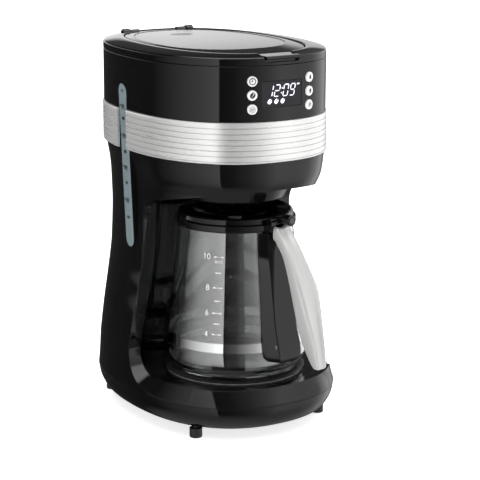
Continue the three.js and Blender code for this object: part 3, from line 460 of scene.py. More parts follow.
CORNERS = ("front_left", "front_right", "rear_left", "rear_right")
CAD_FINISH = {
    MATT_BLACK: ["inner_deck", "cord_gland", "filter_basket", "water_tank", "spout", "thermostat",
                 "display_module"],
    STEEL: ["hinge_pin_left", "hinge_pin_right", "mesh_filter", "valve_spring", "heater_clamp",
            "carafe_hinge_pin", "strap_screw"] + ["base_screw_" + corner for corner in CORNERS],
    CAST: ["heater_ring"],
    COATING: ["warming_plate"],
    SILICONE: ["valve_seal", "plate_seal", "inlet_hose", "outlet_hose"],
    WHITE: ["valve_plunger", "riser_pipe", "thermal_fuse", "check_valve"],
    BOARD: ["control_board"],
    RUBBER: ["foot_" + corner for corner in CORNERS],
}


def dress_cad_nodes():
    for material, names in CAD_FINISH.items():
        for name in names:
            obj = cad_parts[name]
            if not obj.material_slots:
                obj.data.materials.append(material)
            for slot in obj.material_slots:
                slot.material = material


# ---------- housing ----------
def column_half(z):
    return float(smooth_table([(row[0], row[1]) for row in COLUMN], [z])[0, 0])


def housing_loops(inset=0.0, low=CREASE_Z, top=HEAD_TOP, recess=True):
    """The outer form's loops from bottom to top, drawn in by an inset."""
    heights = np.concatenate([[low, max(low, CREASE_Z) + 0.5], np.arange(38, 236, 3.0), [237.3]])
    rows = smooth_table(COLUMN, np.clip(heights, COLUMN[0][0], COLUMN[-1][0]))
    loops = [outline(z, *(size - inset for size in row)) for z, row in zip(heights, rows)]
    heights = np.concatenate([np.arange(CHIN_Z, 269.8, 2.0), [BAND_LOW - 0.4]])
    for z, (half, head, front) in zip(heights, smooth_table(CHIN, heights)):
        loops.append(outline(z, half - inset, front - inset, HEAD_FRONT - inset, head - inset))
    cut_in = inset + (BAND_RECESS if recess else 0)
    half, head, front = CHIN[-1][1:]
    loops.append(outline(BAND_LOW - GAP, half - cut_in, front - cut_in, HEAD_FRONT - cut_in, head - cut_in))
    loops.append(outline(BAND_HIGH + GAP, HEAD_HALF - cut_in, HEAD_FRONT - cut_in))
    for z, by in [(BAND_HIGH + 0.4, 0), (330, 0), (350, 0), (top - 0.6, 0), (top - 0.15, 0.2), (top, 0.6)]:
        loops.append(outline(z, HEAD_HALF - inset - by, HEAD_FRONT - inset - by))
    return loops


def bay_side(growth=0.0, floor=RIM_Z):
    """The bay's section in Y and Z, with a wide arc up into the column and another under the head."""
    back, low, front = COLUMN_Y + growth, floor - growth, ROOF_FRONT + growth
    points = [(-220.0, low), (back, low), (back, ROOF_BACK + growth), (-HEAD_FRONT, front), (-220.0, front)]
    return rounded(points, [0, LOW_BEND, HIGH_BEND, 0, 0], 14)


def tub(growth, low, high):
    """The room between the columns: straight sides that follow the housing, and a rounded rear."""
    turns = TURNS[TURNS < math.pi]
    y = COLUMN_Y + (BAY_REAR + growth - COLUMN_Y) * squared(np.sin(turns))
    loops = []
    for z in np.concatenate([[low], np.arange(math.ceil(low / 6) * 6 + 0.5, high, 6.0), [high]]):
        half = column_half(min(max(z, DECK_Z), 220.0)) - COLUMN_WIDE + growth
        sides = [(-half, COLUMN_Y), (-half, AXIS_Y), (half, AXIS_Y)]
        loops.append(np.array([(a, b, z) for a, b in [*zip(squared(np.cos(turns)) * half, y), *sides]]))
    return loft(loops)


def rim_half(y, z):
    """Half width of the housing near its rim, at a place along its length."""
    half, front, _ = smooth_table(COLUMN, [max(z, CREASE_Z)])[0]
    return bowed(half, y, front)


# How deep the slanting face starts and how far in it ends: by angle on the bend, by Y on the rim.
BEND_SLANT = [(20.0, -0.3, 13.0), (45.0, 2.0, 13.0), (70.0, 6.0, 12.4), (90.0, 9.5, 11.6)]
RIM_SLANT = [(-96.0, 15.7, 3.4), (-78.0, 15.4, 5.2), (-62.0, 14.4, 7.4), (-48.0, 12.6, 9.6),
             (-35.0, 9.5, 11.6)]


def rim_sweep(sign, growth=0.0):
    """The slanting face from a column's lower bend to the base's rim, as a form to cut away."""
    stations = []
    angles = np.linspace(20, 90, 18)
    for angle, slant in zip(np.radians(angles), smooth_table(BEND_SLANT, angles)):
        out, down = math.cos(angle), math.sin(angle)
        stations.append((COLUMN_Y - LOW_BEND * (1 - out), RIM_Z + LOW_BEND * (1 - down), out, down, *slant))
    places = np.linspace(-37, -96, 24)
    stations += [(y, RIM_Z, 0.0, 1.0, *slant) for y, slant in zip(places, smooth_table(RIM_SLANT, places))]
    loops = []
    for y, z, out, down, depth, reach in stations:
        outer = np.array([rim_half(y, z - depth * down), depth])
        inner = np.array([rim_half(y, z) - reach, 0.0])
        along = inner - outer
        shift = growth * np.array([along[1], -along[0]]) / np.linalg.norm(along)
        corners = [outer - 0.2 * along + shift, outer + 1.3 * along + shift, outer + [2.0, -9.0 - depth]]
        loops.append(np.array([(sign * x, y + deep * out, z - deep * down) for x, deep in corners]))
    return loft(loops)


def bay_parts(growth=0.0, floor=RIM_Z):
    side = extruded(bay_side(growth, floor), -140, 140)
    room = tub(growth, DECK_Z - growth, ROOF_BACK + growth)
    return [side, room] + [rim_sweep(sign, growth) for sign in (-1, 1)]


def gauge_outline(growth):
    """The gauge's outline in (y, z), with round ends."""
    half = GAUGE_WIDTH / 2
    ends = ((1, GAUGE_HIGH - half), (-1, GAUGE_LOW + half))
    return [(GAUGE_Y + side * (half + growth) * math.cos(t), middle + side * (half + growth) * math.sin(t))
            for side, middle in ends for t in np.linspace(0, math.pi, 17)]


def gauge_hole(growth):
    return extruded(gauge_outline(growth), -130, -70)


def main_housing():
    obj = mesh_object("main_housing_skin", loft(housing_loops()))
    deck = mesh_object("deck_recess", loft([outline(z, 96, 122) for z in (DECK_Z, RIM_Z + 2)]))
    cut(deck, [block((-150, COLUMN_Y - LOW_BEND, 0), (150, 150, 80))])
    inner = mesh_object("inside", loft(housing_loops(WALL, CREASE_Z - 2, HEAD_TOP + 2, recess=False)))
    cut(inner, bay_parts(WALL, DECK_Z))
    cut(obj, bay_parts() + [deck, inner])
    plate = rod(PLATE_HOLE, DECK_Z - 5, DECK_Z + 5, 120, ON_AXIS)
    funnel = rod(FUNNEL_HOLE, 218, 252, 120, ON_AXIS)
    cut(obj, [plate, funnel, gauge_hole(GAP), display_hole()])
    cut(obj, [button_bore(place) for place in button_places()])
    finish_piece(obj, "machine", GLOSS_BLACK, ["main_housing"], 28)


# ---------- panel ----------
BUTTON_X, BUTTON_Z, BUTTON_PITCH, BUTTON_RADIUS = 31.3, 334.9, 13.0, 4.75
BUTTON_NAMES = ["clock", "brew", "strength", "up", "down", "power"]
SIGN_LOW, SIGN_HIGH = 1.6, 1.8  # a print's height above a button's place
DISPLAY_WIDTH, DISPLAY_HEIGHT, DISPLAY_SUNK, DISPLAY_THICK, DISPLAY_PRINT = 42.7, 24.0, 0.25, 1.55, 0.06


def button_places():
    """Centre, outward direction and row of each button, left column first, from the top down."""
    slope = (BUTTON_X / HEAD_HALF) ** (ROUNDNESS - 1) / HEAD_HALF
    depth = bowed(1.0, BUTTON_X, HEAD_HALF)
    turn = math.atan2(slope, depth ** (ROUNDNESS - 1) / HEAD_FRONT)
    return [(side * BUTTON_X, -HEAD_FRONT * depth, BUTTON_Z + row * BUTTON_PITCH, side * turn)
            for side in (-1, 1) for row in (1, 0, -1)]


def on_button(part, place):
    """Turns a shape drawn facing +Z, with +Y up, to stand on a button's place."""
    x, y, z, turn = place
    verts, faces = part
    u, up, out = np.asarray(verts, float).T
    c, s = math.cos(turn), math.sin(turn)
    return np.stack([x + u * c + out * s, y + u * s - out * c, z + up], 1), faces


def button_bore(place):
    return on_button(rod(BUTTON_RADIUS + 0.4, -8, 4, 40), place)


def display_hole():
    w, h = DISPLAY_WIDTH / 2 + GAP, DISPLAY_HEIGHT / 2 + GAP
    return block((-w, -HEAD_FRONT - 5, BUTTON_Z - h), (w, -HEAD_FRONT + 20, BUTTON_Z + h))


def head_front_y(x, out=0.0):
    """Y of the head's front wall at x."""
    return -bowed(HEAD_FRONT + out, x, HEAD_HALF + out)


def display_window():
    low, high = BUTTON_Z - DISPLAY_HEIGHT / 2, BUTTON_Z + DISPLAY_HEIGHT / 2
    loops = []
    for x in np.linspace(-DISPLAY_WIDTH / 2, DISPLAY_WIDTH / 2, 33):
        front, back = (head_front_y(x, -sunk) for sunk in (DISPLAY_SUNK, DISPLAY_SUNK + DISPLAY_THICK))
        loop = rounded([(front, low), (front, high), (back, high), (back, low)], 0.25, 2)
        loops.append(np.column_stack([np.full(len(loop), x), loop]))
    make("display_glass", loft(loops), "machine", DISPLAY, ["display_window"])


def on_panel(outlines):
    """Flat outlines in (x, z) as thin prints that follow the display's curved face."""
    parts = []
    for points in outlines:
        x, z = np.array(points, float).T
        parts.append(loft([np.stack([x, [head_front_y(at, out) for at in x], z], 1)
                           for out in (-DISPLAY_SUNK, DISPLAY_PRINT - DISPLAY_SUNK)]))
    return joined(*parts)


BEAN_LEAN = -0.6
SEGMENTS_LIT = {"0": "abcdef", "1": "bc", "2": "abged", "9": "abcdfg"}


def pointed_bar(a, b, thick):
    """A bar between two points, with both ends pointed."""
    a, b = np.array(a, float), np.array(b, float)
    along = (b - a) / np.linalg.norm(b - a) * thick / 2
    side = np.array([-along[1], along[0]])
    return [a, a + along - side, b - along - side, b, b - along + side, a + along + side]


def digit(sign, x, z, width, height, lean):
    """The lit bars of one seven-bar figure, as slanted outlines."""
    thick, gap, middle = width * 0.15, width * 0.05, height / 2
    edge, end = thick / 2, gap + thick / 2
    left, right, top = edge, width - edge, height - edge
    bars = {
        "a": ((end, top), (width - end, top)), "g": ((end, middle), (width - end, middle)),
        "d": ((end, edge), (width - end, edge)), "f": ((left, middle + end), (left, height - end)),
        "b": ((right, middle + end), (right, height - end)), "e": ((left, end), (left, middle - end)),
        "c": ((right, end), (right, middle - end)),
    }
    lit = [pointed_bar(*bars[key], thick) for key in SEGMENTS_LIT[sign]]
    return [[(x + u + lean * v, z + v) for u, v in bar] for bar in lit]


def disc(x, z, radius, steps=24, squeeze=1.0):
    turns = np.linspace(0, 2 * math.pi, steps, endpoint=False)
    return [(x + radius * squeeze * math.cos(t), z + radius * math.sin(t)) for t in turns]


def bean(x, z, radius):
    """A leaning coffee bean: two bowed halves beside a slit."""
    gap, c, s = 0.13 * radius, math.cos(BEAN_LEAN), math.sin(BEAN_LEAN)
    half = [(gap + 0.62 * radius * math.cos(t), radius * math.sin(t))
            for t in np.linspace(-math.pi / 2, math.pi / 2, 13)]
    half += [(gap * (1 + 0.5 * math.sin(math.pi * t)), 0.98 * radius * t)
             for t in np.linspace(2 / 3, -2 / 3, 5)]
    return [[(x + side * u * c - v * s, z + side * u * s + v * c) for u, v in half] for side in (-1, 1)]


def display_figures():
    width, height, lean, base = 5.8, 11.4, 0.2, 332.4
    figures = []
    for sign, x in (("1", -17.6), ("2", -10.3), ("0", -0.9), ("9", 6.6)):
        figures += digit(sign, x, base, width, height, lean)
    for level in (0.3, 0.68):
        figures.append(disc(-2.4 + lean * level * height, base + level * height, 0.6))
    figures.append([(15.9, base + 9.9), (18.8, base + 9.9), (19.1, base + 11.1), (16.2, base + 11.1)])
    for x in (-14.1, -7.2, -0.35):
        figures += bean(x, 328.2, 2.5)
    make("display_figures", on_panel(figures), "machine", LIT)


def sign_ring(inner, outer):
    return rod(outer, SIGN_LOW, SIGN_HIGH, 40, bore=inner)


def flat(points):
    """A print on a button's face, drawn in (u, up)."""
    return extruded(points, SIGN_LOW, SIGN_HIGH, axis=2)


def flat_bar(a, b, width):
    return flat(bar_between(a, b, width))


def bar_between(a, b, width):
    a, b = np.array(a, float), np.array(b, float)
    along = (b - a) / np.linalg.norm(b - a)
    side = np.array([-along[1], along[0]]) * width / 2
    return [a - side, b - side, b + side, a + side]


def buttons():
    radius = BUTTON_RADIUS
    section = rounded([(0.0, -5.0), (radius, -5.0), (radius, 1.5), (0.0, 1.7)], [0, 0.3, 0.7, 0], 5)
    signs = {
        "clock": (PRINT_BLACK, [sign_ring(2.5, 3.3), flat_bar((0, -0.2), (0, 1.9), 0.65),
                                flat_bar((0.2, 0.0), (-1.5, 0.0), 0.65)]),
        "brew": (PRINT_BLACK, [flat(half) for half in bean(0.1, 0, 3.0)]),
        "strength": (PRINT_PALE, [flat_bar((x, -1.4), (x + 0.9, 1.5), 0.5) for x in (-1.9, -0.5, 0.9)]
                     + [sign_ring(2.7, 3.1)]),
        "up": (PRINT_BLACK, [flat(disc(0.2, -0.5, 1.5, 20, 0.8)),
                             flat([(-0.9, 0.3), (1.3, 0.3), (0.2, 2.3)])]),
        "down": (PRINT_BLACK, [flat(disc(0.2, 0.5, 1.5, 20, 0.8)),
                               flat([(1.3, -0.2), (-0.9, -0.2), (0.2, -2.3)])]),
        "power": (PRINT_PALE, [sign_ring(1.5, 2.0), flat_bar((0, 0.7), (0, 2.7), 0.55)]),
    }
    for name, place in zip(BUTTON_NAMES, button_places()):
        body, (ink, parts) = "button_" + name, signs[name]
        cap = on_button(turned(section, 48), place)
        make("button_cap_" + name, cap, body, BUTTON_WHITE, [body])
        make("button_sign_" + name, on_button(joined(*parts), place), body, ink)


# ---------- band and gauge ----------
def decor_band():
    half, front = HEAD_HALF + BAND_PROUD, HEAD_FRONT + BAND_PROUD
    pitch = (BAND_HIGH - BAND_LOW - 2.4) / BAND_RIBS
    rows = [(BAND_LOW, -1.1), (BAND_LOW + 0.35, -0.35), (BAND_LOW + 1.1, 0.0)]
    for i in range(BAND_RIBS):
        start = BAND_LOW + 1.2 + i * pitch
        rows += [(start + 0.5, -0.04), (start + 0.68, -1.05), (start + 1.3, -1.05), (start + 1.5, -0.08)]
        rows += [(start + 2.2, 0.0), (start + pitch - 0.4, 0.0)]
    rows += [(BAND_HIGH - 0.5, -0.2), (BAND_HIGH, -0.9)]
    loops = [outline(z, half + out, front + out) for z, out in rows]
    inset = -BAND_RECESS + GAP + 0.1
    for z in (BAND_HIGH, BAND_LOW):
        loops.append(outline(z, HEAD_HALF + inset, HEAD_FRONT + inset))
    obj = mesh_object("band_sleeve", closed_loft(loops))
    cut(obj, [gauge_hole(GAP + 0.2)])
    finish_piece(obj, "machine", BAND_METAL, ["decor_band"], 40)


def gauge_x(z, y, inset=0.0):
    """X of the gauge's face: a straight strip that leans with the wall."""
    t = (z - GAUGE_LOW) / (GAUGE_HIGH - GAUGE_LOW)
    half = GAUGE_LOW_HALF + (GAUGE_HIGH_HALF - GAUGE_LOW_HALF) * t - inset
    return -bowed(half, y, GAUGE_REACH - inset)


def water_gauge():
    """A strip with round ends: rows across it, with softened edges."""
    radius = GAUGE_WIDTH / 2
    low, high = GAUGE_LOW + radius, GAUGE_HIGH - radius
    heights = np.unique(np.concatenate([
        low - radius * np.cos(np.linspace(0.12, math.pi / 2, 12)), np.linspace(low, high, 40),
        high + radius * np.sin(np.linspace(0, math.pi / 2 - 0.12, 12))]))
    edges = [(0.9, 0.0), (0.97, 0.25), (1.0, 0.7)]  # place across, how far it is sunk
    rows = [(-at, by) for at, by in edges[::-1]] + [(-0.5, 0.0), (0.0, 0.0), (0.5, 0.0)] + edges
    loops = []
    for z in heights:
        over = max(z - high, low - z, 0.0)
        half = math.sqrt(max(radius**2 - over**2, 0.01))
        across = [(GAUGE_Y + at * half, by) for at, by in rows]
        front = [(gauge_x(z, y) + by, y, z) for y, by in across]
        back = [(gauge_x(z, y, GAUGE_THICK), y, z) for y, _ in across[::-1]]
        loops.append(np.array(front + back))
    make("gauge_window", loft(loops), "machine", GAUGE, ["water_gauge"], angle=50)


def on_gauge(shapes, z):
    """Outlines in (y, z) about a height of the gauge as thin prints, drawn wider than high."""
    parts = []
    for points in shapes:
        points = np.array(points, float) * (1.7, 1.0) + (GAUGE_Y, z)
        face = np.array([gauge_x(high, across) for across, high in points])
        parts.append(loft([np.column_stack([face + out, points]) for out in (0.1, -0.12)]))
    return parts


def ring_slabs(y, z, inner, outer, steps):
    """A ring as short slabs, so that each stays a simple outline."""
    turns = np.linspace(0, 2 * math.pi, steps + 1)
    slabs = [((inner, a), (outer, a), (outer, b), (inner, b)) for a, b in zip(turns[:-1], turns[1:])]
    return [[(y + r * math.cos(t), z + r * math.sin(t)) for r, t in slab] for slab in slabs]


def gauge_marks():
    """Dots between cups with handle and saucer, and a ring at the top."""
    dots = [on_gauge([disc(0, 0, 1.6)], z)[0] for z in (300, 267, 236, 201)]
    make("gauge_dots", joined(*dots), "machine", PRINT_BLACK)
    bowl = [(-2.2, 1.6), (2.2, 1.6), (1.6, -1.8), (-1.6, -1.8)]
    saucer = [(-2.8, -2.5), (2.8, -2.5), (2.6, -3.0), (-2.6, -3.0)]
    cup, prints = [bowl, *ring_slabs(2.6, 0.2, 0.7, 1.2, 12), saucer], []
    for z in (312, 283, 251.5, 218.5):
        prints += on_gauge(cup, z)
    prints += on_gauge(ring_slabs(0, 0, 0.9, 1.4, 14), 327)
    make("gauge_cups", joined(*prints), "machine", PRINT_GREY)


# ---------- base ----------
PAN = [(9.8, 90.0, 120.0, 114.0), (12.5, 96.0, 127.0, 120.0), (19.0, 101.5, 133.0, 124.0),
       (27.5, 105.2, 137.0, 127.2), (35.7, 106.8, 138.4, 128.4)]


def base_pan():
    heights = np.concatenate([[9.8, 10.0, 10.5], np.arange(11.5, 35.4, 1.5), [35.4, 35.7]])
    rows = [(z, *row) for z, row in zip(heights, smooth_table(PAN, heights))]
    softened = [0.8, 0.3] + [0.0] * (len(rows) - 3) + [0.5]
    loops = [outline(z, *(size - by for size in row)) for (z, *row), by in zip(rows, softened)]
    inner = [outline(z, *(size - WALL for size in row)) for z, *row in rows[:0:-1] if z > 12.4]
    obj = mesh_object("base_pan_skin", loft(loops + inner))
    vents = [block((-30, y, 0), (30, y + 5, 20)) for y in (60, 76)]
    bores = [rod(3.8, 0, 15.8, 24, (side * x, y)) for side in (-1, 1) for x, y in ((72, -62), (60, 80))]
    cut(obj, vents + bores)
    finish_piece(obj, "machine", GLOSS_BLACK, ["base_pan"])


def feet():
    for name in CORNERS:
        low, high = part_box("foot_" + name)
        x, y = (low.x + high.x) / 2 / MM, (low.y + high.y) / 2 / MM - MIDDLE_Y
        section = rounded([(0.0, 0.0), (6.25, 0.0), (6.25, 9.5), (2.8, 9.5), (2.8, 15.0), (0.0, 15.0)],
                          [0, 1.0, 0.3, 0, 0.4, 0], 4)
        make("foot_pad_" + name, turned(section, 48, (x, y)), "machine", RUBBER, ["foot_" + name])


# ---------- top ----------
COVER_EDGE, COVER_TOP, COVER_ROUND, COVER_SIDE, MOUTH_HALF, MOUTH_LENGTH = 369.5, 371.8, 2.0, 6.0, 72.2, 113.0
LID_HALF, LID_LENGTH, LID_LOW, LID_HINGE_Y, LID_HINGE_Z = 71.4, 112.2, 366.2, 111.5, 369.0
TAB_HALF, TAB_LOW, TAB_HIGH, TAB_REACH = 18.5, 367.2, 370.3, 128.3
INSERT_HALF, INSERT_FRONT, INSERT_REAR = 63.5, 77.0, 99.0


def rod_section(radius, start, end, edge, steps):
    return rounded([(0.0, start), (radius, start), (radius, end), (0.0, end)], [0, edge, edge, 0], steps)


def cross_rod(radius, start, end, y, z, steps, edge=0.0):
    """A rod along X, its ends rounded by an edge radius."""
    verts, faces = turned(rod_section(radius, start, end, edge, 3), steps)
    return np.stack([verts[:, 2], verts[:, 0] + y, verts[:, 1] + z], 1), faces


def top_cover():
    low, shoulder = HEAD_TOP + GAP, COVER_EDGE - COVER_ROUND
    rows = [(low, 0.5), (low + 0.12, 0.15), (low + 0.5, 0.0), (shoulder, 0.0)]
    rows += [(shoulder + COVER_ROUND * math.sin(t), COVER_ROUND * (1 - math.cos(t)))
             for t in np.linspace(0.25, 1.35, 6)]
    loops = [outline(z, HEAD_HALF - by, HEAD_FRONT - by) for z, by in rows]
    z_in, by_in = rows[-1]
    for t in np.linspace(0.15, 1, 7):
        half = (HEAD_HALF - by_in) * (1 - t) + (MOUTH_HALF + 0.8) * t
        length = (HEAD_FRONT - by_in) * (1 - t) + (MOUTH_LENGTH + 0.8) * t
        loops.append(outline(z_in + (COVER_TOP - z_in) * (1 - (1 - t) ** 1.6), half, length))
    loops += [outline(COVER_TOP - down, MOUTH_HALF + by, MOUTH_LENGTH + by)
              for down, by in ((0.3, 0.15), (0.9, 0.0), (4.6, 0.0))]
    loops += [outline(z, HEAD_HALF - COVER_SIDE, HEAD_FRONT - COVER_SIDE) for z in (COVER_EDGE - 5.1, low)]
    obj = mesh_object("cover_ring", closed_loft(loops))
    room = TAB_HALF + 1
    scoop = rounded([(-TAB_HALF - 2.5, 371.0), (-TAB_HALF + 1.5, COVER_EDGE - 5.2),
                     (TAB_HALF - 1.5, COVER_EDGE - 5.2), (TAB_HALF + 2.5, 371.0)], [0, 1.5, 1.5, 0], 5)
    cut(obj, [block((-room, -140, TAB_LOW - 0.6), (room, -105, 380)),
              extruded(scoop, -140, -HEAD_FRONT + 4, axis=1)])
    cut(obj, [block((x, 90, LID_HINGE_Z - 6), (x + 12, 117.3, 380)) for x in (-33, 21)])
    finish_piece(obj, "machine", GLOSS_BLACK, ["top_cover"], 30)
    knuckles = []
    for start in (-41.0, 33.0):
        end = start + 8
        knuckles.append(cross_rod(5.0, start, end, LID_HINGE_Y, LID_HINGE_Z, 40, 0.8))
        knuckles.append(block((start + 0.2, LID_HINGE_Y, 364.4), (end - 0.2, LID_HINGE_Y + 6.3, COVER_EDGE)))
    make("cover_knuckles", joined(*knuckles), "machine", GLOSS_BLACK)


def vent_slots(low, high):
    """Five rounded slots in a round field."""
    slots = []
    for row in range(-2, 3):
        reach, y = 13.0 * math.cos(row * math.pi / 6), 58 + row * 4.0
        corners = [(-2 - reach, y - 1), (-2 + reach, y - 1), (-2 + reach, y + 1), (-2 - reach, y + 1)]
        slots.append(extruded(rounded(corners, 0.95, 4), low, high, axis=2))
    return slots


def insert_outline(z, growth=0.0, share=1.0):
    return outline(z, *((size + growth) * share for size in (INSERT_HALF, INSERT_FRONT, INSERT_REAR)))


def lid_frame():
    """The frame's top slopes down a little from the insert to its own edge."""
    seat_loop = insert_outline(0, GAP)
    edge_loop = outline(0, LID_HALF - 1.4, LID_LENGTH - 1.4)
    drop = 0.05 * np.linalg.norm((edge_loop - seat_loop)[:, :2], axis=1)
    loops = [outline(LID_LOW, LID_HALF, LID_LENGTH)]
    for down, by in [(1.2, 0.0), (0.5, 0.2), (0.15, 0.7), (0.1, 1.4)]:
        loop = outline(COVER_TOP - down, LID_HALF - by, LID_LENGTH - by)
        loop[:, 2] -= drop
        loops.append(loop)
    for t in (0.25, 0.5, 0.75, 1.0):
        loop = edge_loop * (1 - t) + seat_loop * t
        loop[:, 2] = COVER_TOP - 0.1 - drop * (1 - t)
        loops.append(loop)
    obj = mesh_object("lid_shell", loft(loops))
    hollow = loft([outline(z, LID_HALF - 8, LID_LENGTH - 8) for z in (LID_LOW - 1, COVER_TOP - 3.2)])
    seat = loft([insert_outline(z, GAP) for z in (COVER_TOP - 1.3, COVER_TOP + 2)])
    cut(obj, [seat, hollow])
    root = -LID_LENGTH + 4
    tab = rounded([(-TAB_REACH, TAB_LOW), (-TAB_REACH, TAB_HIGH), (root, TAB_HIGH), (root, TAB_LOW)],
                  [1.0, 1.2, 0, 0], 4)
    cut(obj, [extruded(tab, -TAB_HALF, TAB_HALF)], operation="UNION")
    arms = []
    for start in (-32.5, 22.0):
        end = start + 10.5
        arms.append(cross_rod(4.0, start, end, LID_HINGE_Y, LID_HINGE_Z, 40, 0.4))
        arms.append(block((start, 94, LID_HINGE_Z - 3.4), (end, LID_HINGE_Y, LID_HINGE_Z + 1.6)))
    holder = rod(29.1, 363.2, COVER_TOP - 3, 64, ON_AXIS, 27.5)
    cut(obj, arms + [holder], operation="UNION")
    cut(obj, vent_slots(COVER_TOP - 6, COVER_TOP + 1))
    finish_piece(obj, "lid", GLOSS_BLACK, ["lid_frame"], 30)


def lid_insert():
    """A plate with a faint dome."""
    loops = [insert_outline(COVER_TOP - 1.0)]
    loops += [insert_outline(COVER_TOP - fall, -by) for by, fall in [(0.0, 0.65), (0.2, 0.5), (0.5, 0.44)]]
    loops += [insert_outline(COVER_TOP - 0.44 * t * t, -0.5, t) for t in np.linspace(0.92, 0.04, 12)]
    obj = mesh_object("lid_plate", loft(loops))
    cut(obj, vent_slots(COVER_TOP - 3, COVER_TOP + 1))
    finish_piece(obj, "lid", INSERT_METAL, ["lid_insert"])


def ring_of(count, radius, y=0.0):
    """Places round a vertical axis."""
    return [(radius * math.cos(t), y + radius * math.sin(t))
            for t in np.linspace(0, 2 * math.pi, count, endpoint=False)]


def shower_head():
    top = COVER_TOP - 3.6
    section = rounded([(0.0, 353.0), (23.5, 353.0), (26.5, 356.0), (26.5, top), (24.9, top), (24.9, 356.6),
                       (22.9, 354.6), (0.0, 354.6)], [0, 1.0, 1.0, 0.3, 0.3, 0.8, 0.8, 0], 3)
    obj = mesh_object("shower_pan", turned(section, 72, ON_AXIS))
    holes = [rod(1.6, 352, 356, 16, place) for place in ring_of(8, 15, AXIS_Y)]
    cut(obj, holes + [block((-6, AXIS_Y + 20, 356.5), (6, AXIS_Y + 30, 372))])
    finish_piece(obj, "lid", MATT_BLACK, ["shower_head"])


# ---------- brew funnel ----------
def brew_funnel():
    section = rounded([
        (9.0, 224.0), (48.0, 224.0), (57.0, 243.0), (57.0, 262.0), (69.0, 270.0), (69.0, 349.0),
        (67.0, 349.0), (67.0, 271.0), (55.0, 263.5), (55.0, 244.0), (46.5, 226.0), (9.0, 226.0)],
        [0.4, 3, 6, 3, 3, 0.4, 0.4, 3, 3, 3, 3, 0.4], 5)
    make("funnel_shell", turned(section, 96, ON_AXIS), "machine", GLOSS_BLACK, ["brew_funnel"])


# ---------- carafe ----------
# Radius and height of the glass, from the foot up.
GLASS_OUTER = [(55.0, 54.3), (60.0, 53.3), (66.0, 57.5), (70.4, 66.0), (71.6, 77.0), (70.6, 88.0),
               (64.6, 140.0), (58.0, 189.5), (57.4, 203.0)]


def curve_through(points, per=10):
    """A smooth curve through its points, of even parameter."""
    p = np.array(points, float)
    ends = np.vstack([2 * p[0] - p[1], p, 2 * p[-1] - p[-2]])
    out = []
    for i in range(1, len(ends) - 2):
        a, b, c, d = ends[i - 1:i + 3]
        for t in np.linspace(0, 1, per, endpoint=False):
            square, cube = (2 * a - 5 * b + 4 * c - d) * t**2, (3 * b - a - 3 * c + d) * t**3
            out.append(0.5 * (2 * b + (c - a) * t + square + cube))
    return np.array(out + [p[-1]])


GLASS_CURVE = curve_through(GLASS_OUTER, 8)
GLASS_WALL = 2.4


def carafe_glass():
    inner = [(r - GLASS_WALL, z) for r, z in GLASS_CURVE if z > 63][::-1]
    bottom = curve_through([inner[-1], (62.5, 60.2), (57.0, 57.6), (48.0, 57.0), (0.001, 57.0)], 6)[1:]
    foot = curve_through([(0.001, 54.6), (40.0, 54.6), (50.0, 54.6), (55.0, 54.3)], 3)[:-1]
    section = [*foot, *GLASS_CURVE, (56.9, 203.5), (55.6, 203.5), *inner, *bottom]
    bowl = turned(section, 160)
    make("carafe_bowl", bowl, "carafe", GLASS, ["carafe_glass"], in_carafe, 60)


def on_glass(points, centre_turn):
    """Outlines in (arc length, height) printed on the glass round a direction."""
    across, z = np.array(points, float).T
    radius = np.interp(z, GLASS_CURVE[:, 1], GLASS_CURVE[:, 0])
    turns = centre_turn + across / radius
    return loft([np.stack([(radius + lift) * np.cos(turns), (radius + lift) * np.sin(turns), z], 1)
                 for lift in (0.02, 0.12)])


def arc(x, z, half, high, steps):
    """A closed round stroke of a figure."""
    return [(x + half * math.cos(t), z + high * math.sin(t)) for t in np.linspace(0, 2 * math.pi, steps)]


FIGURE_STROKES = {
    "0": [arc(0.5, 0.5, 0.5, 0.5, 17)],
    "1": [[(0.15, 0.78), (0.5, 1.0), (0.5, 0.0)]],
    "4": [[(0.75, 0.0), (0.75, 1.0), (0.05, 0.3), (1.0, 0.3)]],
    "6": [[(0.8, 1.0), (0.35, 0.72), (0.08, 0.35), (0.2, 0.08), (0.5, 0.0), (0.82, 0.1), (0.92, 0.3),
           (0.8, 0.5), (0.5, 0.58), (0.2, 0.48)]],
    "8": [arc(0.5, 0.75, 0.42, 0.24, 13), arc(0.5, 0.27, 0.5, 0.27, 13)],
}


MARKS_TURN = -136.5  # degrees from +X, seen from above
MARKS = [(175, "10"), (159.8, ""), (145.5, "8"), (132.9, ""), (121.1, "6"), (110.8, ""), (100.5, "4")]


def stroke_figure(sign, x, z, width, height, pen):
    """A figure as short pen strokes, each a simple outline."""
    lines = [[(x + u * width, z + v * height) for u, v in line] for line in FIGURE_STROKES[sign]]
    return [bar_between(a, b, pen) for line in lines for a, b in zip(line[:-1], line[1:])]


def carafe_marks():
    """A scale of cups: a long line with a number for every second one."""
    centre = math.radians(MARKS_TURN - HANDLE_TURN)
    shapes = []
    for z, sign in MARKS:
        half, pen = (4.6, 1.3) if sign else (3.0, 0.9)
        shapes.append(bar_between((-half, z), (half, z), pen))
        for i, figure in enumerate(sign):
            shapes += stroke_figure(figure, -11.8 + (i - len(sign) + 1) * 3.9, z - 2.5, 2.9, 5.2, 0.75)
    for offset in (0, 1.6):
        shapes.append(bar_between((-4.0, 171.2 - offset), (4.0, 171.2 - offset), 0.5))
    prints = joined(*[on_glass(shape, centre) for shape in shapes])
    make("carafe_marks", prints, "carafe", PRINT_WHITE, place=in_carafe)


HINGE_Y, HINGE_Z, HINGE_RADIUS, HINGE_HALF, EAR_END, PIN_RADIUS = -63.0, 209.0, 4.3, 5.6, 10.5, 1.7
THUMB_FROM, THUMB_REACH, THUMB_Z, THUMB_RADIUS = 74.6, 85.0, 212.3, 5.2


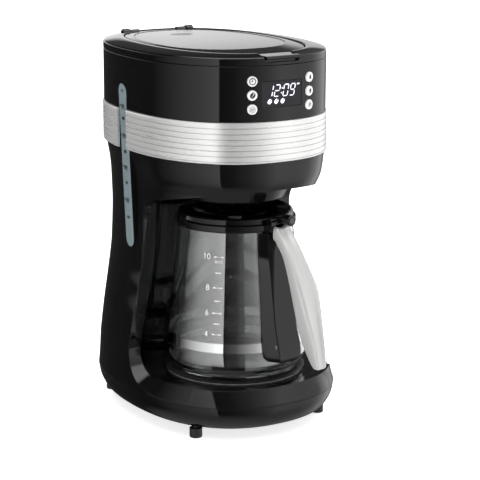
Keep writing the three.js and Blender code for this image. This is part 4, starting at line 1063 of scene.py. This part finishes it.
def carafe_collar():
    inner, radius, low, high = 57.9, 60.0, 198.3, 205.0
    section = rounded([(inner, low), (radius - 0.8, low), (radius, low + 1), (radius, high), (inner, high)],
                      [0.3, 0.5, 0.5, 0.6, 0.3], 4)
    obj = mesh_object("collar_ring", turned(section, 128), in_carafe)
    keep_out = rod(radius - 0.5, 190, high, 128)
    pin_hole = cross_rod(PIN_RADIUS, -12, 12, HINGE_Y, HINGE_Z, 24)
    for start, end in ((-EAR_END, -HINGE_HALF - GAP), (HINGE_HALF + GAP, EAR_END)):
        ear = mesh_object("ear", cross_rod(HINGE_RADIUS, start, end, HINGE_Y, HINGE_Z, 40, 0.6), in_carafe)
        foot_part = block((start, HINGE_Y - HINGE_RADIUS, low + 1), (end, HINGE_Y + HINGE_RADIUS, HINGE_Z))
        cut(ear, [foot_part], in_carafe, "UNION")
        cut(ear, [keep_out, pin_hole], in_carafe)
        cut(obj, [ear], in_carafe, "UNION")
    finish_piece(obj, "carafe", GLOSS_BLACK, ["carafe_collar"])


def thumb_rod(radius, start, end, steps, edge=0.0):
    """A rod on the thumb lever's axis, which points away from the carafe."""
    verts, faces = turned(rod_section(radius, start, end, edge, 5), steps)
    return np.stack([verts[:, 0], -verts[:, 2], verts[:, 1] + THUMB_Z], 1), faces


def carafe_lid():
    low, top, plug, radius = 205.3, 212.0, 53.5, 58.0
    section = rounded([
        (0.0, low + 2), (plug - 7, low + 2), (plug - 5.5, low - 5.5), (plug, low - 5.5), (plug, low),
        (radius - 0.3, low), (radius, low + 1), (radius - 1, top - 1.5), (radius - 3, top), (42, top),
        (32, low + 4.6), (0.0, low + 4.4)],
        [0, 1, 1, 1, 0.5, 0.4, 0.6, 1.6, 2, 5, 6, 0], 6)
    obj = mesh_object("carafe_cap", turned(section, 128), in_carafe)
    barrel = cross_rod(HINGE_RADIUS, -HINGE_HALF, HINGE_HALF, HINGE_Y, HINGE_Z, 40, 0.4)
    root = block((-HINGE_HALF, HINGE_Y, low + 0.3), (HINGE_HALF, -52, HINGE_Z + 2))
    arm = block((-4, -THUMB_FROM + GAP, HINGE_Z - 0.6), (4, HINGE_Y, HINGE_Z + 4))
    cut(obj, [barrel, root, arm], in_carafe, "UNION")
    holes = [cross_rod(PIN_RADIUS, -12, 12, HINGE_Y, HINGE_Z, 24)]
    holes += [rod(2.5, low, low + 20, 20, place) for place in ring_of(6, 16)]
    cut(obj, holes, in_carafe)
    finish_piece(obj, "carafe_lid", GLOSS_BLACK, ["carafe_lid"])


def thumb_lever():
    obj = mesh_object("thumb_knob", thumb_rod(THUMB_RADIUS, THUMB_FROM, THUMB_REACH, 48, 1.6), in_carafe)
    cut(obj, [thumb_rod(2.2, THUMB_FROM - 1, THUMB_FROM + 6.3, 24)], in_carafe)
    finish_piece(obj, "carafe_lid", GLOSS_BLACK, ["thumb_lever"])


def handle_bar(stations, corners):
    """A bar through stations of outer reach, height, half width, depth and lean."""
    loops = []
    for reach, z, half, depth, lean in curve_through(stations, 6):
        inward, down = depth * math.cos(math.radians(lean)), depth * math.sin(math.radians(lean))
        side, part = np.array(corners, float).T
        loops.append(np.stack([side * half, part * inward - reach, z - part * down], 1))
    return loft(loops)


def grip_section():
    """A rounded section with a dished outer face, as (share of half width, share of depth)."""
    dish = [(x, 0.1 * (1 - (x / 0.6) ** 2) if abs(x) < 0.6 else 0.0) for x in np.linspace(-0.72, 0.72, 9)]
    side = [(0.9, 0.06), (0.98, 0.22), (1, 0.5), (0.98, 0.8), (0.8, 0.97), (0.4, 1.0)]
    return [(-x, y) for x, y in side[2::-1]] + dish + side + [(-x, y) for x, y in side[:2:-1]]


# Outer reach, height, half width, depth and lean in degrees, from the top down.
SHELL_STATIONS = [
    (67.8, 204.6, 9, 14, 89), (72, 204, 9, 14, 80), (77, 198.6, 9.2, 12.6, 62), (86, 188.5, 9.5, 11.4, 44),
    (93.8, 178, 10, 12.4, 32), (103.5, 163, 11.5, 14.6, 22), (111.6, 147.6, 12.5, 16.6, 17),
    (119, 125, 10.5, 19, 15), (125.3, 103, 8, 19, 11), (129, 86, 6.6, 13.5, 8), (130, 78.5, 5.8, 9.6, 4),
    (128.4, 76, 4.4, 6, 2),
]
STRAP_STATIONS = [
    (63.4, 197.4, 17.5, 12, 0), (64, 183, 18.5, 12, 0), (68.5, 160, 19.5, 15, 0), (73.5, 130, 20.5, 17, 0),
    (78, 105, 21.5, 19, 0), (82.5, 90, 22, 20, 0), (84.5, 78, 21, 20, 0), (82.6, 73, 17, 19, 0),
]


def strap_section():
    """Sloping sides up to a flat face, with softened edges."""
    corners = [(-1, 1), (-1, 0.62), (-0.63, 0.0), (0.63, 0.0), (1, 0.62), (1, 1)]
    return [tuple(p) for p in rounded(corners, [0, 0.06, 0.05, 0.05, 0.06, 0], 4)]


def handle():
    grip = handle_bar(SHELL_STATIONS, grip_section())
    make("handle_grip", grip, "carafe", SILVER, ["handle_shell"], in_carafe, 50)
    strap = mesh_object("handle_spine", handle_bar(STRAP_STATIONS, strap_section()), in_carafe)
    against_glass = [(r + 0.4, z) for r, z in GLASS_CURVE if z > 60]
    cut(strap, [turned([(0.0, 60.0)] + against_glass + [(0.0, 204.0)], 160)], in_carafe)
    finish_piece(strap, "carafe", GLOSS_BLACK, ["handle_strap"], 50)


# ---------- stage, light and camera ----------
def ramp(tree, source, stops):
    made = node(tree, "ValToRGB", Fac=source)
    made.color_ramp.interpolation = "LINEAR"
    elements = made.color_ramp.elements
    while len(elements) > 1:
        elements.remove(elements[-1])
    for i, (at, value) in enumerate(stops):
        element = elements[0] if i == 0 else elements.new(at)
        element.position = at
        element.color = (value, value, value, 1)
    return made.outputs["Color"]


def studio_light():
    """A studio drawn in the world: softboxes round the object, a bright ceiling, white for the camera."""
    world = bpy.data.worlds.new("studio")
    bpy.context.scene.world = world
    world.use_nodes = True
    tree = world.node_tree
    tree.nodes.clear()
    x, y, z = axes(tree, "Generated")
    # Azimuth counted from +X towards +Y, as a share of a full turn.
    azimuth = maths(tree, "FRACT", maths(tree, "DIVIDE", maths(tree, "ARCTAN2", y, x), 2 * math.pi))
    height = maths(tree, "MULTIPLY_ADD", z, 0.5, 0.5)

    def round_ramp(stops):
        return ramp(tree, azimuth, [(a / 360, value * RAMP_SHARE) for a, value in stops])

    def height_ramp(stops, share=1.0):
        levels = [((math.sin(math.radians(elevation)) + 1) / 2, value * share) for elevation, value in stops]
        return ramp(tree, height, levels)

    def masked(stops, mask):
        product = maths(tree, "MULTIPLY", round_ramp(stops), height_ramp(mask))
        return maths(tree, "MULTIPLY", product, 1 / RAMP_SHARE)

    above = maths(tree, "MULTIPLY", height_ramp(CEILING, CEILING_SHARE), 1 / CEILING_SHARE)
    far = maths(tree, "ADD", above, masked(BACKDROP, BACK_MASK))
    total = maths(tree, "ADD", masked(AROUND_LIGHT, SIDE_MASK), far)
    light = node(tree, "Background", Color=total)
    seen = node(tree, "Background", Color=(1, 1, 1, 1), Strength=1.0)
    by_camera = node(tree, "LightPath").outputs["Is Camera Ray"]
    node(tree, "OutputWorld", Surface=mixed(tree, by_camera, light, seen))


RAMP_SHARE, CEILING_SHARE = 0.5, 0.25  # of the light's level, so that what the ramps hold stays under one
# Light level against azimuth in degrees, and masks against elevation in degrees.
AROUND_LIGHT = [
    (0, 1.1), (22, 1.15), (36, 0.4), (46, 0.25), (54, 0.05), (140, 0.03), (152, 0.2), (175, 0.6), (200, 0.95),
    (219.5, 1.3), (220.5, 0.03), (240, 0.08), (255, 0.22), (270, 0.38), (290, 0.75), (303, 1.2), (322, 1.0),
    (345, 0.9), (359.9, 1.1)]
SIDE_MASK = [(-60, 0.0), (-50, 0.15), (-38, 0.6), (-22, 1.0), (45, 1.0), (60, 0.6), (90, 0.0)]
CEILING = [(-90, 0.5), (-50, 0.25), (-40, 0.0), (50, 0.0), (62, 2.6), (90, 3.0)]
BACKDROP = [(0, 0.65), (40, 0.72), (56, 0.82), (61, 1.2), (130, 1.35), (150, 0.2), (200, 0.0), (340, 0.0),
            (359.9, 0.65)]
BACK_MASK = [(-4, 0.0), (-1, 1.0), (7.5, 1.0), (10.5, 0.03), (55, 0.0)]


def floor():
    mesh = bpy.data.meshes.new("floor")
    corners = [(-9, -9, 0), (9, -9, 0), (9, 9, 0), (-9, 9, 0)]
    mesh.from_pydata(corners, [], [(0, 1, 2, 3)])
    obj = new_object("floor", mesh)
    material, tree, shader = new_material("pale_floor")
    pale = colour_between(tree, noise(tree, 0.6, 2.0), (0.93, 0.93, 0.93), (0.95, 0.95, 0.95))
    fill(shader, {"Base Color": pale, "Roughness": 0.9, "Specular IOR Level": 0.0,
                  "Emission Color": (1, 1, 1, 1), "Emission Strength": 0.75})
    # Mirror images show the studio instead of the floor.
    mirrored = maths(tree, "MINIMUM", node(tree, "LightPath").outputs["Glossy Depth"], 1.0)
    surface = mixed(tree, mirrored, shader, node(tree, "BsdfTransparent"))
    fill(tree.nodes["Material Output"], {"Surface": surface})
    mesh.materials.append(material)
    obj.visible_glossy = False


# The camera's azimuth and elevation as seen from the machine, in degrees, and its place in millimetres.
CAMERA_AZIMUTH, CAMERA_ELEVATION = -30.892, 12.778
CAMERA_PLACE = (-851.2, -1422.7, 565.5)
LENS, SENSOR = 126.4, 36.0
AIM_RIGHT, AIM_DOWN = 0.93, 0.66  # degrees that it looks to the right of and below the machine


def camera():
    data = bpy.data.cameras.new("camera")
    data.lens, data.sensor_width = LENS, SENSOR
    data.clip_start, data.clip_end = 0.05, 50
    obj = new_object("camera", data)
    az, el = math.radians(CAMERA_AZIMUTH), math.radians(CAMERA_ELEVATION)
    back = Vector((math.sin(az) * math.cos(el), -math.cos(az) * math.cos(el), math.sin(el)))
    right = Vector((math.cos(az), math.sin(az), 0))
    up = back.cross(right)
    forward = -back + right * math.tan(math.radians(AIM_RIGHT)) - up * math.tan(math.radians(AIM_DOWN))
    forward.normalize()
    right = forward.cross(up).normalized()
    up = right.cross(forward)
    obj.matrix_world = Matrix((
        (right.x, up.x, -forward.x, CAMERA_PLACE[0] * MM),
        (right.y, up.y, -forward.y, (CAMERA_PLACE[1] + MIDDLE_Y) * MM),
        (right.z, up.z, -forward.z, CAMERA_PLACE[2] * MM),
        (0, 0, 0, 1)))
    bpy.context.scene.camera = obj


camera()
floor()
studio_light()
bpy.context.scene.view_settings.view_transform = "Standard"
dress_cad_nodes()
main_housing()
base_pan()
feet()
decor_band()
water_gauge()
gauge_marks()
display_window()
display_figures()
buttons()
top_cover()
lid_frame()
lid_insert()
shower_head()
brew_funnel()
carafe_glass()
carafe_marks()
carafe_collar()
carafe_lid()
thumb_lever()
handle()
